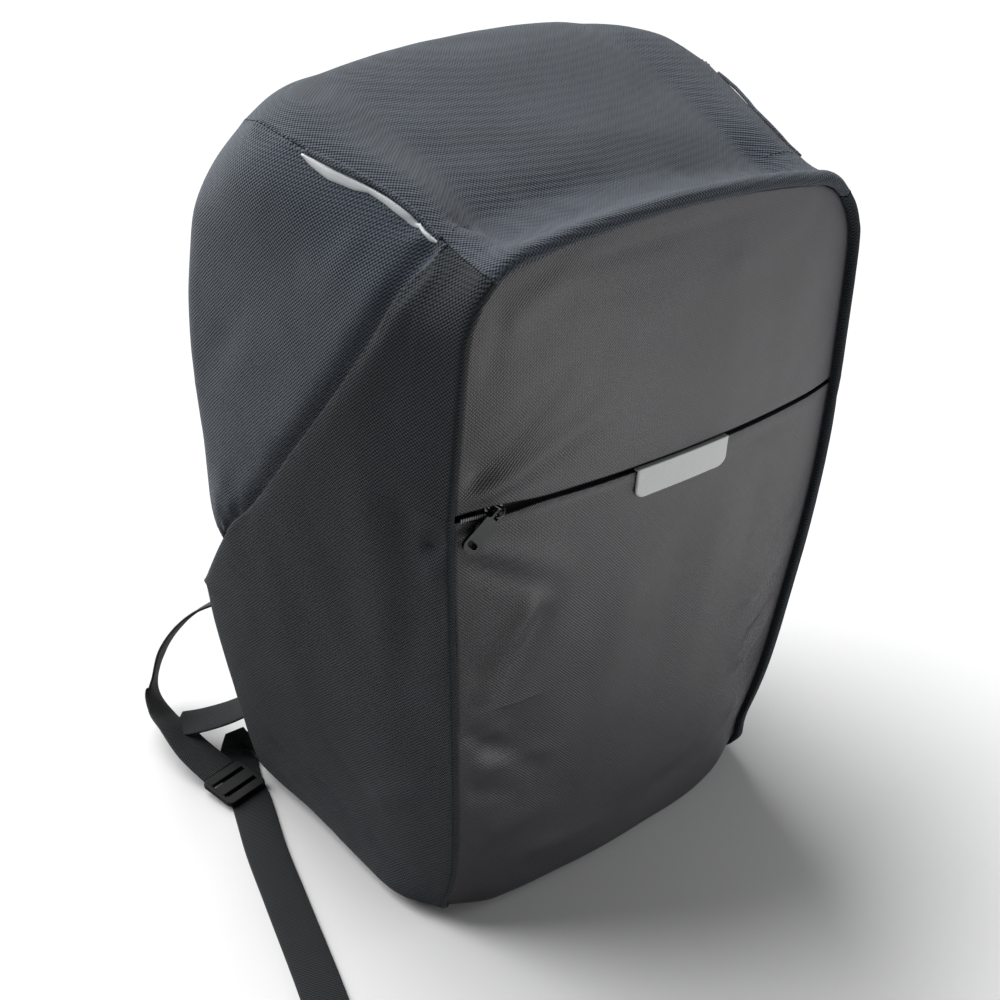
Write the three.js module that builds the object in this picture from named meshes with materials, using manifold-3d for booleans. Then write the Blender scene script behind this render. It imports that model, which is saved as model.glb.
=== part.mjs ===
// An anti theft backpack that stands on its base, in millimetres.
// X runs to the right of the front panel, Y towards the back panel and Z up. The origin is on the base.
import * as THREE from 'three';
import { mergeVertices } from 'three/addons/utils/BufferGeometryUtils.js';
import Module from 'manifold-3d';

// Sizes of the bag
const FRONT_HEIGHT = 403;      // floor to the upper corners of the front panel
const FRONT_HALF = 141;        // half the widest part of the front panel
const REAR_HEIGHT = 428;       // floor to the zip at the top of the back
const REAR_HALF = 153;         // half the width at the zip beside the back
const FRONT_DEPTH = 86;        // origin to the seam round the front panel
const REAR_DEPTH = 112;        // origin to the zip round the back
const FRONT_CORNER = 40;       // radius of the front panel's upper corners
const REAR_CORNER = 62;        // radius of the zip's upper corners
const BASE_ROUND = 12;         // radius under the bag's lower edge
const TOP_CROWN = 8;           // rise of the front panel's top edge at its middle
const REAR_CROWN = 10;         // rise of the zip at the middle of the top
const PANEL_SWELL = 14;        // how far the front panel swells forwards
const BACK_SWELL = 6;          // how far the back panel swells out
const LIP = 7.8;               // thickness of the rolled lip round the front panel
const LIP_RISE = 4;            // how far the lip stands in front of the seam
const SWELL = 17;              // how far the belt of side and top swells out
const PLEAT = 10;              // height of the diagonal pleat at the sides
const PLEAT_TOP = 0.15;        // where the pleat meets the top seam, as a share of the belt's depth
const PLEAT_FOOT = 150;        // height at which the pleat reaches the back
const PLEAT_BOW = 1.3;         // how the pleat bows forwards on its way down
const SEAM_ANGLE = 50;         // where the top seam crosses the corners, in degrees

// Walls and gaps
const SHELL_WALL = 2;          // padded woven fabric
const FRONT_WALL = 2;          // coated fabric
const BACK_WALL = 6;           // padded back
const BASE_WALL = 2.6;
const GAP = 0.5;               // between neighbouring pieces
const FLOOR_TOUCH = 0.01;      // what lies lower than this rests on the floor
const MITRE_LIMIT = 0.62;      // least cosine by which a mitre is lengthened

// Pocket zip
const SLIT_HEIGHT = 277;       // floor to the pocket's slit
const SLIT = 3;                // open width of the slit
const SLIT_AT_SLIDER = 3.4;    // extra width round the slider
const SLIDER_X = -117;
const SLIDER_REACH = 9;        // how far the slit's widening runs along it
const ZIP_TAPE = 13;           // half the width of the zip's tape
const ZIP_THICK = 1;
const ZIP_EASE = 0.5;          // extra depth of the tape where the slit's edges curve

// Slider and puller
const SLIDER_LONG = 10;
const SLIDER_WIDE = 8;
const SLIDER_THICK = 2.2;
const SEAT = 0.3;              // between pieces that rest on each other
const BRIDGE_WIRE = 1.5;       // diameter of the bridge
const BRIDGE_LONG = 5;         // between the middles of its posts
const PULLER_LONG = 25;        // crossbar to the far end
const PULLER_WIDE = 11.5;
const PULLER_THICK = 1.8;
const PULLER_ARM = 1.6;        // width of each arm beside the bridge
const PULLER_CLEAR = 0.9;      // between each arm and the bridge
const PULLER_EYE = 4.4;        // length of the eye from the crossbar's middle
const PULLER_SLOT = 3.4;       // width of the slot at the far end
const PULLER_TILT = 42;        // how far the puller hangs below the slit, in degrees
const PULLER_STAND = 3.4;      // height of the far end above the pocket
const CROSSBAR_CLEAR = 0.4;    // between the crossbar and the bridge's bar

// Tab on the pocket's edge
const TAB_WIDTH = 69;
const TAB_DROP = 16;
const TAB_THICK = 1;
const TAB_X = 5;               // middle of the tab
const TAB_CORNER = 5;

// Reflective strips in the top seams
const STRIP_ANGLE = 4.5;       // width of the strip round the corner, in degrees
const STRIP_THICK = 0.8;
const STRIP_STAND = 0.4;       // height of the strip above the side
const STRIP_EDGE = 0.6;        // from the strip to the seam, in degrees
const STRIP_FROM = 0.225;      // ends of the strip, as shares of the belt's depth
const STRIP_TO = 0.61;

// Closed zip round the back
const BACK_ZIP = 10;

// Straps
const WEB = 25;                // width of the webbing
const WEB_THICK = 1.6;
const STRAP_WIDE = 60;
const STRAP_THICK = 10;
const STRAP_TOP = 0.93;        // the padded straps' upper ends, as a share of REAR_HEIGHT
const STRAP_END = 128;         // floor to the padded straps' lower ends
const LOOP_REACH = 75;         // how far the webbing stands behind the back
const LOCK_LONG = 26;
const LOCK_WIDE = 31;
const LOCK_THICK = 3.4;
const LOCK_SLOT = 3.2;
const LOCK_SLOT_AT = 0.42;     // the slots' middles, as a share of half the lock
const LOCK_CORNER = 3;
const LOCK_SEAT = 0.5;         // between the webbing and its lock
const LOCK_DIP = 0.11;         // slope of the left lock, and of the right one
const RIGHT_DIP = 2.2;
const FLOOR_GAP = 0.15;        // under the webbing that lies on the floor

// Half widths and depths by height. Heights are shares of the front panel's height; front is a share of
// FRONT_HALF, rear of REAR_HALF, and lean is a share of REAR_DEPTH that the back leans in.
const RISE = [
  { up: 0.000, front: 0.930, rear: 0.840, lean: 0.150 },
  { up: 0.030, front: 0.925, rear: 0.850, lean: 0.115 },
  { up: 0.070, front: 0.895, rear: 0.870, lean: 0.090 },
  { up: 0.125, front: 0.880, rear: 0.890, lean: 0.065 },
  { up: 0.240, front: 0.900, rear: 0.925, lean: 0.030 },
  { up: 0.340, front: 0.920, rear: 0.950, lean: 0.010 },
  { up: 0.420, front: 0.935, rear: 0.955, lean: 0.000 },
  { up: 0.540, front: 0.968, rear: 0.970, lean: 0.000 },
  { up: 0.680, front: 0.998, rear: 0.990, lean: 0.000 },
  { up: 0.800, front: 0.992, rear: 1.000, lean: 0.000 },
  { up: 1.000, front: 0.975, rear: 1.000, lean: 0.020 },
];

// The belt's swell from the lip to the back, as shares of SWELL, along the side, the top seam and the top.
const BELT = [
  { along: 0.05, side: 0.60, seam: 0.38, top: 0.12 },
  { along: 0.12, side: 0.68, seam: 0.38, top: -0.28 },
  { along: 0.20, side: 0.74, seam: 0.48, top: -0.42 },
  { along: 0.32, side: 0.80, seam: 0.82, top: -0.02 },
  { along: 0.45, side: 0.85, seam: 1.18, top: 0.32 },
  { along: 0.60, side: 0.90, seam: 1.56, top: 0.64 },
  { along: 0.74, side: 0.98, seam: 1.82, top: 0.88 },
  { along: 0.86, side: 1.00, seam: 1.38, top: 0.98 },
  { along: 0.93, side: 0.94, seam: 0.80, top: 0.84 },
  { along: 0.98, side: 0.58, seam: 0.30, top: 0.46 },
  { along: 1.00, side: 0.00, seam: 0.00, top: 0.00 },
];

// The rolled lip: ahead is a share of LIP_RISE, out a share of LIP and along a share of LIP.
const ROLL = [
  { ahead: 0.0, out: 0.00, along: 0.0 },
  { ahead: 0.9, out: 0.22, along: 0.0 },
  { ahead: 0.9, out: 0.66, along: 0.0 },
  { ahead: 0.0, out: 0.98, along: 0.3 },
];

// The pleat's height by height on the bag: up is a share of the front panel's height, proud of PLEAT.
const PLEAT_RISE = [
  { up: 0.044, proud: 0.00 },
  { up: 0.120, proud: 0.15 },
  { up: 0.240, proud: 0.50 },
  { up: 0.340, proud: 0.85 },
  { up: 0.420, proud: 1.00 },
  { up: 0.700, proud: 1.00 },
  { up: 0.850, proud: 0.75 },
  { up: 0.930, proud: 0.35 },
  { up: 0.965, proud: 0.00 },
];

// How full the front panel is by height: up is a share of the front panel's height, full of PANEL_SWELL.
const FULLNESS = [
  { up: 0.000, full: 0.80 },
  { up: 0.120, full: 0.80 },
  { up: 0.400, full: 0.90 },
  { up: 0.680, full: 1.00 },
  { up: 0.850, full: 0.75 },
  { up: 0.960, full: 0.35 },
  { up: 1.000, full: 0.20 },
];

// Dents and folds in the pocket panel: x is a share of FRONT_HALF, up of the front panel's height,
// wide and tall of FRONT_HALF, deep of PANEL_SWELL, and turn is in degrees.
const DENTS = [
  { x: -0.68, up: 0.30, wide: 0.26, tall: 0.10, deep: 0.42, turn: 35 },
  { x: 0.82, up: 0.42, wide: 0.22, tall: 0.07, deep: 0.30, turn: -40 },
  { x: 0.70, up: 0.24, wide: 0.24, tall: 0.07, deep: 0.28, turn: -35 },
  { x: -0.66, up: 0.56, wide: 0.30, tall: 0.06, deep: -0.18, turn: 50 },
];

const radians = THREE.MathUtils.degToRad;
const clamp = THREE.MathUtils.clamp;

// Value of one column of a table, smoothly between its rows.
function lookup(table, key, column, at) {
  const last = table.length - 1;
  if (at <= table[0][key]) return table[0][column];
  if (at >= table[last][key]) return table[last][column];
  let i = 0;
  while (at > table[i + 1][key]) i += 1;
  const slope = (k) => {
    const a = table[Math.max(0, k - 1)];
    const b = table[Math.min(last, k + 1)];
    return (b[column] - a[column]) / (b[key] - a[key]);
  };
  const span = table[i + 1][key] - table[i][key];
  const t = (at - table[i][key]) / span;
  const t2 = t * t;
  const t3 = t2 * t;
  return (2 * t3 - 3 * t2 + 1) * table[i][column] + (t3 - 2 * t2 + t) * span * slope(i)
    + (3 * t2 - 2 * t3) * table[i + 1][column] + (t3 - t2) * span * slope(i + 1);
}

const share = (height) => height / FRONT_HEIGHT;
const frontHalf = (height) => FRONT_HALF * lookup(RISE, 'up', 'front', share(height));
const rearHalf = (height) => REAR_HALF * lookup(RISE, 'up', 'rear', share(height));
const rearDepth = (height) => REAR_DEPTH * (1 - lookup(RISE, 'up', 'lean', share(height)));

// Depth of the front panel's face at x and height.
function frontFace(x, height, half) {
  const edge = clamp(1 - (x / half) ** 2, 0, 1);
  const lowered = Math.max(0, BASE_ROUND - height);
  const under = BASE_ROUND - Math.sqrt(BASE_ROUND ** 2 - lowered ** 2);
  let depth = FRONT_DEPTH - under + PANEL_SWELL * lookup(FULLNESS, 'up', 'full', share(height)) * edge ** 0.8;
  for (const dent of DENTS) {
    const turn = radians(dent.turn);
    const dx = x - dent.x * FRONT_HALF;
    const dz = height - dent.up * FRONT_HEIGHT;
    const across = (dx * Math.cos(turn) + dz * Math.sin(turn)) / (dent.wide * FRONT_HALF);
    const over = (dz * Math.cos(turn) - dx * Math.sin(turn)) / (dent.tall * FRONT_HALF);
    depth -= dent.deep * PANEL_SWELL * Math.exp(-(across ** 2) - over ** 2) * edge ** 0.5;
  }
  return -depth;
}

// Stations round the bag, from the base up one side. Each holds a point on the front seam, a point on the
// rear zip, the direction in which the belt swells and how strongly it does.
function bottomStation(angle) {
  const a = radians(angle);
  const drop = BASE_ROUND * (1 + Math.sin(a));
  const tuck = BASE_ROUND * (1 - Math.cos(a));
  const front = new THREE.Vector3(frontHalf(BASE_ROUND) - tuck, 0, drop);
  front.y = frontFace(front.x, drop, front.x);
  const rear = new THREE.Vector3(rearHalf(BASE_ROUND) - tuck, rearDepth(BASE_ROUND) - tuck, drop);
  return { front, rear, angle: 0, strength: 0.75 + 0.25 * Math.cos(a) };
}

function sideStation(height) {
  const front = new THREE.Vector3(frontHalf(height), -FRONT_DEPTH, height);
  const rear = new THREE.Vector3(rearHalf(height), rearDepth(height), height);
  return { front, rear, angle: 0, strength: 1 };
}

const cornerHeight = FRONT_HEIGHT - FRONT_CORNER;
const rearCornerHeight = REAR_HEIGHT - REAR_CORNER;

function cornerStation(angle) {
  const a = radians(angle);
  const front = new THREE.Vector3(
    frontHalf(cornerHeight) - FRONT_CORNER * (1 - Math.cos(a)),
    0,
    cornerHeight + FRONT_CORNER * Math.sin(a),
  );
  front.y = frontFace(front.x, front.z, front.x);
  const rear = new THREE.Vector3(
    rearHalf(cornerHeight) - REAR_CORNER * (1 - Math.cos(a)),
    rearDepth(cornerHeight),
    cornerHeight + (rearCornerHeight - cornerHeight) * Math.min(1, 0.3 + angle / 90) + REAR_CORNER * Math.sin(a),
  );
  return { front, rear, angle, strength: 1 };
}

// Stations along the top, from across = 1 at one corner to -1 at the other.
function topStation(across) {
  const corner = cornerStation(90);
  const front = new THREE.Vector3(corner.front.x * across, 0, corner.front.z + TOP_CROWN * (1 - across ** 2));
  front.y = frontTopDepth(across);
  const rear = new THREE.Vector3(
    corner.rear.x * across,
    corner.rear.y,
    corner.rear.z + REAR_CROWN * (1 - across ** 2),
  );
  return { front, rear, angle: 90, strength: 1 };
}

function frontTopDepth(across) {
  const edge = frontFace(1, FRONT_HEIGHT, 1);
  const middle = frontFace(0, FRONT_HEIGHT, 1);
  return edge + (middle - edge) * (1 - across ** 2);
}

const swellTable = (station, along) => {
  const side = lookup(BELT, 'along', 'side', along);
  const seam = lookup(BELT, 'along', 'seam', along);
  const top = lookup(BELT, 'along', 'top', along);
  if (station.angle <= SEAM_ANGLE) return THREE.MathUtils.lerp(side, seam, smooth(station.angle / SEAM_ANGLE));
  return THREE.MathUtils.lerp(seam, top, smooth((station.angle - SEAM_ANGLE) / (90 - SEAM_ANGLE)));
};

const smooth = (t) => t * t * (3 - 2 * t);

// A point of the belt: along runs from the front seam (0) to the rear zip (1), proud lifts it further.
function beltPoint(station, along, proud = 0) {
  const a = radians(station.angle);
  const out = station.strength * SWELL * swellTable(station, Math.max(along, BELT[0].along));
  const point = station.front.clone().lerp(station.rear, along);
  point.x += Math.cos(a) * (out + proud * station.strength);
  point.z += Math.sin(a) * (out + proud * station.strength);
  return point;
}

function lipPoint(station, roll) {
  const a = radians(station.angle);
  const out = station.strength * LIP * roll.out;
  const point = station.front.clone();
  point.x += Math.cos(a) * out;
  point.z += Math.sin(a) * out;
  point.y += LIP * roll.along - LIP_RISE * roll.ahead * station.strength;
  return point;
}

// Where the pleat runs: its share of the belt's depth at a station.
const seamHeight = cornerStation(SEAM_ANGLE).front.z;
function pleatAt(station) {
  const down = clamp((seamHeight - station.front.z) / (seamHeight - PLEAT_FOOT), 0, 1) ** PLEAT_BOW;
  return PLEAT_TOP + (1 - PLEAT_TOP) * down;
}
const pleatHeight = (station) => PLEAT * lookup(PLEAT_RISE, 'up', 'proud', share(station.front.z));

// Lists of stations: heights are shares of the straight side, which the pleat's foot and the slit join.
const SIDE_SHARES = [0.05, 0.13, 0.22, 0.31, 0.40, 0.52, 0.62, 0.79, 0.88];
const sideHeights = [
  ...SIDE_SHARES.map((s) => BASE_ROUND + s * (cornerHeight - BASE_ROUND)),
  PLEAT_FOOT, SLIT_HEIGHT - SLIT / 2, SLIT_HEIGHT + SLIT / 2,
].sort((a, b) => a - b);
const BOTTOM_ANGLES = [-90, -60, -30, 0];
const CORNER_ANGLES = [0, 17, 34, SEAM_ANGLE, 63, 77, 90];
const TOP_STEPS = 12;
const leftCorner = CORNER_ANGLES.filter((angle) => angle <= SEAM_ANGLE);
const topCorner = CORNER_ANGLES.filter((angle) => angle >= SEAM_ANGLE);

const bottomRows = BOTTOM_ANGLES.map(bottomStation);
const sideRows = [
  ...bottomRows,
  ...sideHeights.map(sideStation),
  ...leftCorner.map(cornerStation),
];
const pleatRow = bottomRows.length + sideHeights.indexOf(PLEAT_FOOT);
const acrossSteps = Array.from({ length: TOP_STEPS + 1 }, (_, k) => 1 - 2 * k / TOP_STEPS);
const mirrored = (station) => ({ ...station, mirror: true });
const topRows = [
  ...topCorner.map(cornerStation),
  ...acrossSteps.slice(1, -1).map(topStation),
  ...topCorner.map(cornerStation).map(mirrored).reverse(),
];
const flip = (point) => new THREE.Vector3(-point.x, point.y, point.z);

// Columns of the belt
const FRONT_STEPS = [0.14, 0.32, 0.52, 0.72, 0.88];
const REAR_STEPS = [0.1, 0.22, 0.4, 0.6, 0.76, 0.88, 0.96, 1];
const CREST_LIMIT = 0.94;      // the pleat's crest never runs past the rear swell
const lipEnd = 0.055;

function sideFrontRow(station) {
  const pleat = pleatAt(station);
  const crest = Math.min(pleat, CREST_LIMIT);
  const proud = pleatHeight(station);
  const row = ROLL.map((roll) => lipPoint(station, roll));
  for (const step of [...FRONT_STEPS, 1]) {
    row.push(beltPoint(station, lipEnd + (crest - lipEnd) * step, proud * smooth(step) ** 0.8));
  }
  const foot = beltPoint(station, pleat);
  const shoulder = beltPoint(station, (crest + pleat) / 2, proud * 0.55);
  row.push(shoulder, foot);
  return row;
}

function sideRearRow(station) {
  const pleat = pleatAt(station);
  return [0, ...REAR_STEPS].map((step) => beltPoint(station, pleat + (1 - pleat) * step));
}

function topRow(station) {
  const row = ROLL.map((roll) => lipPoint(station, roll));
  for (const step of [...FRONT_STEPS, 1]) row.push(beltPoint(station, lipEnd + (PLEAT_TOP - lipEnd) * step));
  for (const step of REAR_STEPS) row.push(beltPoint(station, PLEAT_TOP + (1 - PLEAT_TOP) * step));
  return station.mirror ? row.map(flip) : row;
}

// Rows of the front panels, from the base up: each runs from the left edge to the right one.
function frontRow(station) {
  return acrossSteps.map((across) => {
    const x = -across * station.front.x;
    const bow = station.angle > 0 ? Math.sin(radians(station.angle)) : 0;
    const height = station.front.z + TOP_CROWN * bow * (1 - across ** 2);
    const y = station.angle === 90 ? frontTopDepth(across) : frontFace(x, station.front.z, station.front.x);
    return new THREE.Vector3(x, y, height);
  });
}

// The slit opens round the slider and stays narrow elsewhere.
function openSlit(row, side) {
  return row.map((point) => {
    const near = Math.exp(-(((point.x - SLIDER_X) / SLIDER_REACH) ** 2));
    return point.clone().setZ(point.z + side * SLIT_AT_SLIDER / 2 * near);
  });
}

// The back: the zip's inner edge lies BACK_ZIP inside its outer edge.
function innerRear(station) {
  const a = radians(station.angle);
  const inner = station.rear.clone();
  inner.x -= BACK_ZIP * Math.cos(a) * Math.sign(inner.x || 1);
  inner.z -= BACK_ZIP * Math.sin(a);
  inner.y += station.strength * 2;
  return inner;
}

function backRow(station) {
  const corner = innerRear(station);
  return acrossSteps.map((across) => {
    const x = across * corner.x;
    const bow = station.angle > 0 ? Math.sin(radians(station.angle)) : 0;
    const crown = REAR_CROWN * bow * (1 - across ** 2);
    const fade = clamp((REAR_HEIGHT - BACK_ZIP - corner.z) / REAR_CORNER, 0, 1);
    const swell = BACK_SWELL * station.strength * smooth(fade) * clamp(1 - across ** 2, 0, 1) ** 0.7;
    return new THREE.Vector3(x, corner.y + swell, corner.z + crown);
  });
}

// All the panels' outer surfaces, as grids whose rows and columns run anticlockwise seen from outside
const slitLow = sideHeights.indexOf(SLIT_HEIGHT - SLIT / 2) + bottomRows.length;
const frontStations = [...sideRows, ...topCorner.slice(1).map(cornerStation)];
const pocketRows = frontStations.slice(0, slitLow + 1).map(frontRow);
const upperRows = frontStations.slice(slitLow + 1).map(frontRow);
pocketRows[pocketRows.length - 1] = openSlit(pocketRows[pocketRows.length - 1], -1);
upperRows[0] = openSlit(upperRows[0], 1);
const backRows = frontStations.map(backRow);

const rightFront = sideRows.map(sideFrontRow);
const rightRear = sideRows.slice(pleatRow).map(sideRearRow);
const zipRing = [
  ...sideRows, ...topRows.slice(1, -1), ...[...sideRows].reverse().map(mirrored),
].map((station) => {
  const pair = [station.rear, innerRear(station)];
  return station.mirror && pair[0].x > 0 ? pair.map(flip) : pair;
});

const panels = {
  front_pocket_panel: { grid: pocketRows, wall: FRONT_WALL },
  front_upper_panel: { grid: upperRows, wall: FRONT_WALL },
  side_front_right: { grid: rightFront, wall: SHELL_WALL },
  side_front_left: { grid: rightFront, wall: SHELL_WALL, mirror: true },
  side_rear_right: { grid: rightRear, wall: SHELL_WALL },
  side_rear_left: { grid: rightRear, wall: SHELL_WALL, mirror: true },
  top_panel: { grid: topRows.map(topRow), wall: SHELL_WALL },
  main_zip: { grid: zipRing, wall: SHELL_WALL },
  back_panel: { grid: backRows, wall: BACK_WALL },
};

const keyOf = (point) => [point.x, point.y, point.z].map((v) => Math.round(v * 1000)).join(',');

// Triangles of a grid, without the ones that a shared point flattens.
function gridTriangles(grid) {
  const triangles = [];
  for (let i = 0; i + 1 < grid.length; i += 1) {
    for (let j = 0; j + 1 < grid[i].length; j += 1) {
      const [a, b, c, d] = [grid[i][j], grid[i][j + 1], grid[i + 1][j + 1], grid[i + 1][j]];
      triangles.push([a, b, c], [a, c, d]);
    }
  }
  return triangles.filter(([a, b, c]) => {
    const keys = new Set([keyOf(a), keyOf(b), keyOf(c)]);
    return keys.size === 3;
  });
}

const faceNormal = ([a, b, c]) => b.clone().sub(a).cross(c.clone().sub(a));

function addNormals(sums, triangles) {
  for (const triangle of triangles) {
    const normal = faceNormal(triangle);
    for (const point of triangle) {
      const key = keyOf(point);
      if (!sums.has(key)) sums.set(key, new THREE.Vector3());
      sums.get(key).add(normal);
    }
  }
}

// A closed mesh from triangles of points, which share the points that coincide.
function meshOf(name, triangles, color, roughness, metalness = 0) {
  const index = new Map();
  const positions = [];
  const indices = [];
  for (const triangle of triangles) {
    const corners = triangle.map((point) => {
      const key = keyOf(point);
      if (!index.has(key)) {
        index.set(key, positions.length / 3);
        positions.push(point.x, point.y, point.z);
      }
      return index.get(key);
    });
    if (new Set(corners).size === 3) indices.push(...corners);
  }
  const geometry = new THREE.BufferGeometry();
  geometry.setAttribute('position', new THREE.Float32BufferAttribute(positions, 3));
  geometry.setIndex(indices);
  const mesh = new THREE.Mesh(geometry, new THREE.MeshStandardMaterial({ color, roughness, metalness }));
  mesh.name = name;
  return mesh;
}

// Edges that only one triangle uses, as pairs of points in the triangle's direction
function openEdges(triangles) {
  const seen = new Map();
  for (const triangle of triangles) {
    triangle.forEach((point, k) => {
      const next = triangle[(k + 1) % 3];
      seen.set(`${keyOf(point)}|${keyOf(next)}`, [point, next]);
    });
  }
  return [...seen.entries()]
    .filter(([key]) => !seen.has(key.split('|').reverse().join('|')))
    .map(([, pair]) => pair);
}

// Turns a surface into a wall. Neighbours share the normals at their seam, so that their edges are mitred,
// and each edge keeps half of GAP from the seam.
function wallOf(triangles, wall, shared, gap = GAP) {
  const own = new Map();
  addNormals(own, triangles);
  const normalAt = (point) => {
    const flat = point.z < FLOOR_TOUCH;
    return (flat ? new THREE.Vector3(0, 0, -1) : shared.get(keyOf(point)).clone()).normalize();
  };
  const edges = openEdges(triangles);
  const insets = new Map();
  for (const [a, b] of edges) {
    for (const point of [a, b]) {
      const key = keyOf(point);
      if (!insets.has(key)) insets.set(key, []);
      insets.get(key).push(normalAt(point).cross(b.clone().sub(a)).normalize());
    }
  }
  const outer = new Map();
  const inner = new Map();
  for (const point of triangles.flat()) {
    const key = keyOf(point);
    if (outer.has(key)) continue;
    const normal = normalAt(point);
    const facing = Math.max(MITRE_LIMIT, normal.dot(own.get(key).clone().normalize()));
    const moved = point.clone();
    const turns = insets.get(key);
    if (turns) {
      const middle = turns.reduce((sum, turn) => sum.add(turn), new THREE.Vector3()).normalize();
      moved.addScaledVector(middle, gap / 2 / Math.max(MITRE_LIMIT, middle.dot(turns[0])));
    }
    outer.set(key, moved);
    inner.set(key, moved.clone().addScaledVector(normal, -wall / facing));
  }
  const solid = [];
  for (const triangle of triangles) {
    const [a, b, c] = triangle.map(keyOf);
    solid.push([outer.get(a), outer.get(b), outer.get(c)]);
    solid.push([inner.get(c), inner.get(b), inner.get(a)]);
  }
  for (const [a, b] of edges) {
    const [ka, kb] = [keyOf(a), keyOf(b)];
    const [oa, ob, ia, ib] = [outer.get(ka), outer.get(kb), inner.get(ka), inner.get(kb)];
    // Both neighbours split the seam's faces along the same diagonal.
    if (ka < kb) solid.push([ob, oa, ib], [oa, ia, ib]);
    else solid.push([ob, oa, ia], [ob, ia, ib]);
  }
  return solid;
}

const bag = new THREE.Group();
const WOVEN = 0x1d2126;
const COATED = 0x2c2b2d;
const colours = { front_pocket_panel: COATED, front_upper_panel: COATED, main_zip: 0x101113 };

// Every outer surface is made first, so that neighbours know each other's normals.
const mirrorTriangle = ([a, b, c]) => [flip(c), flip(b), flip(a)];
const surfaces = {};
for (const [name, { grid, mirror }] of Object.entries(panels)) {
  const triangles = gridTriangles(grid);
  surfaces[name] = mirror ? triangles.map(mirrorTriangle) : triangles;
}
const sharedNormals = new Map();
Object.values(surfaces).forEach((triangles) => addNormals(sharedNormals, triangles));
for (const [name, triangles] of Object.entries(surfaces)) {
  bag.add(meshOf(name, wallOf(triangles, panels[name].wall, sharedNormals), colours[name] ?? WOVEN, 0.8));
}

// The base fills the loop that the panels leave on the floor.
function baseLoop() {
  const [seam, ...belt] = sideFrontRow(sideRows[0]);
  const side = [seam, ...belt.slice(ROLL.length - 2), innerRear(sideRows[0])];
  const front = pocketRows[0].slice(1, -1);
  const back = backRows[0].slice(1, -1);
  return [...front, ...side, ...back, ...side.map(flip).reverse()];
}

// A loop of points in a plane, moved inwards by a distance.
function insetLoop(loop, distance) {
  return loop.map((point, k) => {
    const before = loop[(k + loop.length - 1) % loop.length];
    const after = loop[(k + 1) % loop.length];
    const first = point.clone().sub(before).normalize();
    const second = after.clone().sub(point).normalize();
    const middle = first.clone().add(second).normalize();
    const inwards = new THREE.Vector2(-middle.y, middle.x);
    return point.clone().addScaledVector(inwards, distance / Math.max(MITRE_LIMIT, middle.dot(first)));
  });
}

function basePanel() {
  const loop = baseLoop().map((point) => new THREE.Vector2(point.x, point.y));
  const shape = new THREE.Shape(insetLoop(loop, GAP));
  const geometry = new THREE.ExtrudeGeometry(shape, { depth: BASE_WALL, bevelEnabled: false });
  const base = new THREE.Mesh(geometry, new THREE.MeshStandardMaterial({ color: WOVEN, roughness: 0.85 }));
  base.name = 'base_panel';
  return base;
}
bag.add(basePanel());

// A closed body through rings of points, with flat ends.
function loft(rings) {
  const triangles = [];
  const around = rings[0].length;
  for (let i = 0; i + 1 < rings.length; i += 1) {
    for (let j = 0; j < around; j += 1) {
      const k = (j + 1) % around;
      triangles.push([rings[i][j], rings[i][k], rings[i + 1][k]], [rings[i][j], rings[i + 1][k], rings[i + 1][j]]);
    }
  }
  const cap = (ring) => {
    const across = ring[1].clone().sub(ring[0]).normalize();
    let normal = new THREE.Vector3();
    ring.forEach((point, k) => normal.add(point.clone().cross(ring[(k + 1) % around])));
    normal = normal.normalize();
    const up = normal.clone().cross(across);
    const flat = ring.map((point) => new THREE.Vector2(point.dot(across), point.dot(up)));
    return THREE.ShapeUtils.triangulateShape(flat, []).map((face) => face.map((k) => ring[k]));
  };
  triangles.push(...cap(rings[0]).map((face) => [...face].reverse()), ...cap(rings[rings.length - 1]));
  const volume = triangles.reduce((sum, [a, b, c]) => sum + a.dot(b.clone().cross(c)), 0);
  return volume > 0 ? triangles : triangles.map((triangle) => [...triangle].reverse());
}

// Pocket zip: a tape whose edges are sewn behind the panel and whose coil lies deeper, behind the slit.
const PLATE_DEPTH = FRONT_WALL + SEAT;
const coilDepth = PLATE_DEPTH + SLIDER_THICK + SEAT;
const ZIP_SECTION = [
  { up: 1.00, sink: 0, back: 0 }, { up: 0.62, sink: 0, back: 0 }, { up: 0.42, sink: 1, back: 0 },
  { up: -0.42, sink: 1, back: 0 }, { up: -0.62, sink: 0, back: 0 }, { up: -1.00, sink: 0, back: 0 },
  { up: -1.00, sink: 0, back: 1 }, { up: -0.62, sink: 0, back: 1 }, { up: -0.42, sink: 1, back: 1 },
  { up: 0.42, sink: 1, back: 1 }, { up: 0.62, sink: 0, back: 1 }, { up: 1.00, sink: 0, back: 1 },
];
const ZIP_STEPS = 14;
const slitHalf = frontHalf(SLIT_HEIGHT);
const faceAt = (x, height) => frontFace(x, height, frontHalf(height));

function pocketZip() {
  const reach = slitHalf - ZIP_TAPE * 1.25;
  const rings = Array.from({ length: ZIP_STEPS + 1 }, (_, k) => {
    const x = reach * (2 * k / ZIP_STEPS - 1);
    return ZIP_SECTION.map(({ up, sink, back }) => {
      const height = SLIT_HEIGHT + up * ZIP_TAPE;
      const depth = PLATE_DEPTH + ZIP_EASE + sink * (coilDepth - PLATE_DEPTH) + back * ZIP_THICK;
      return new THREE.Vector3(x, faceAt(x, SLIT_HEIGHT) + depth, height);
    });
  });
  return meshOf('pocket_zip', loft(rings), 0x17181a, 0.7);
}

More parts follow.
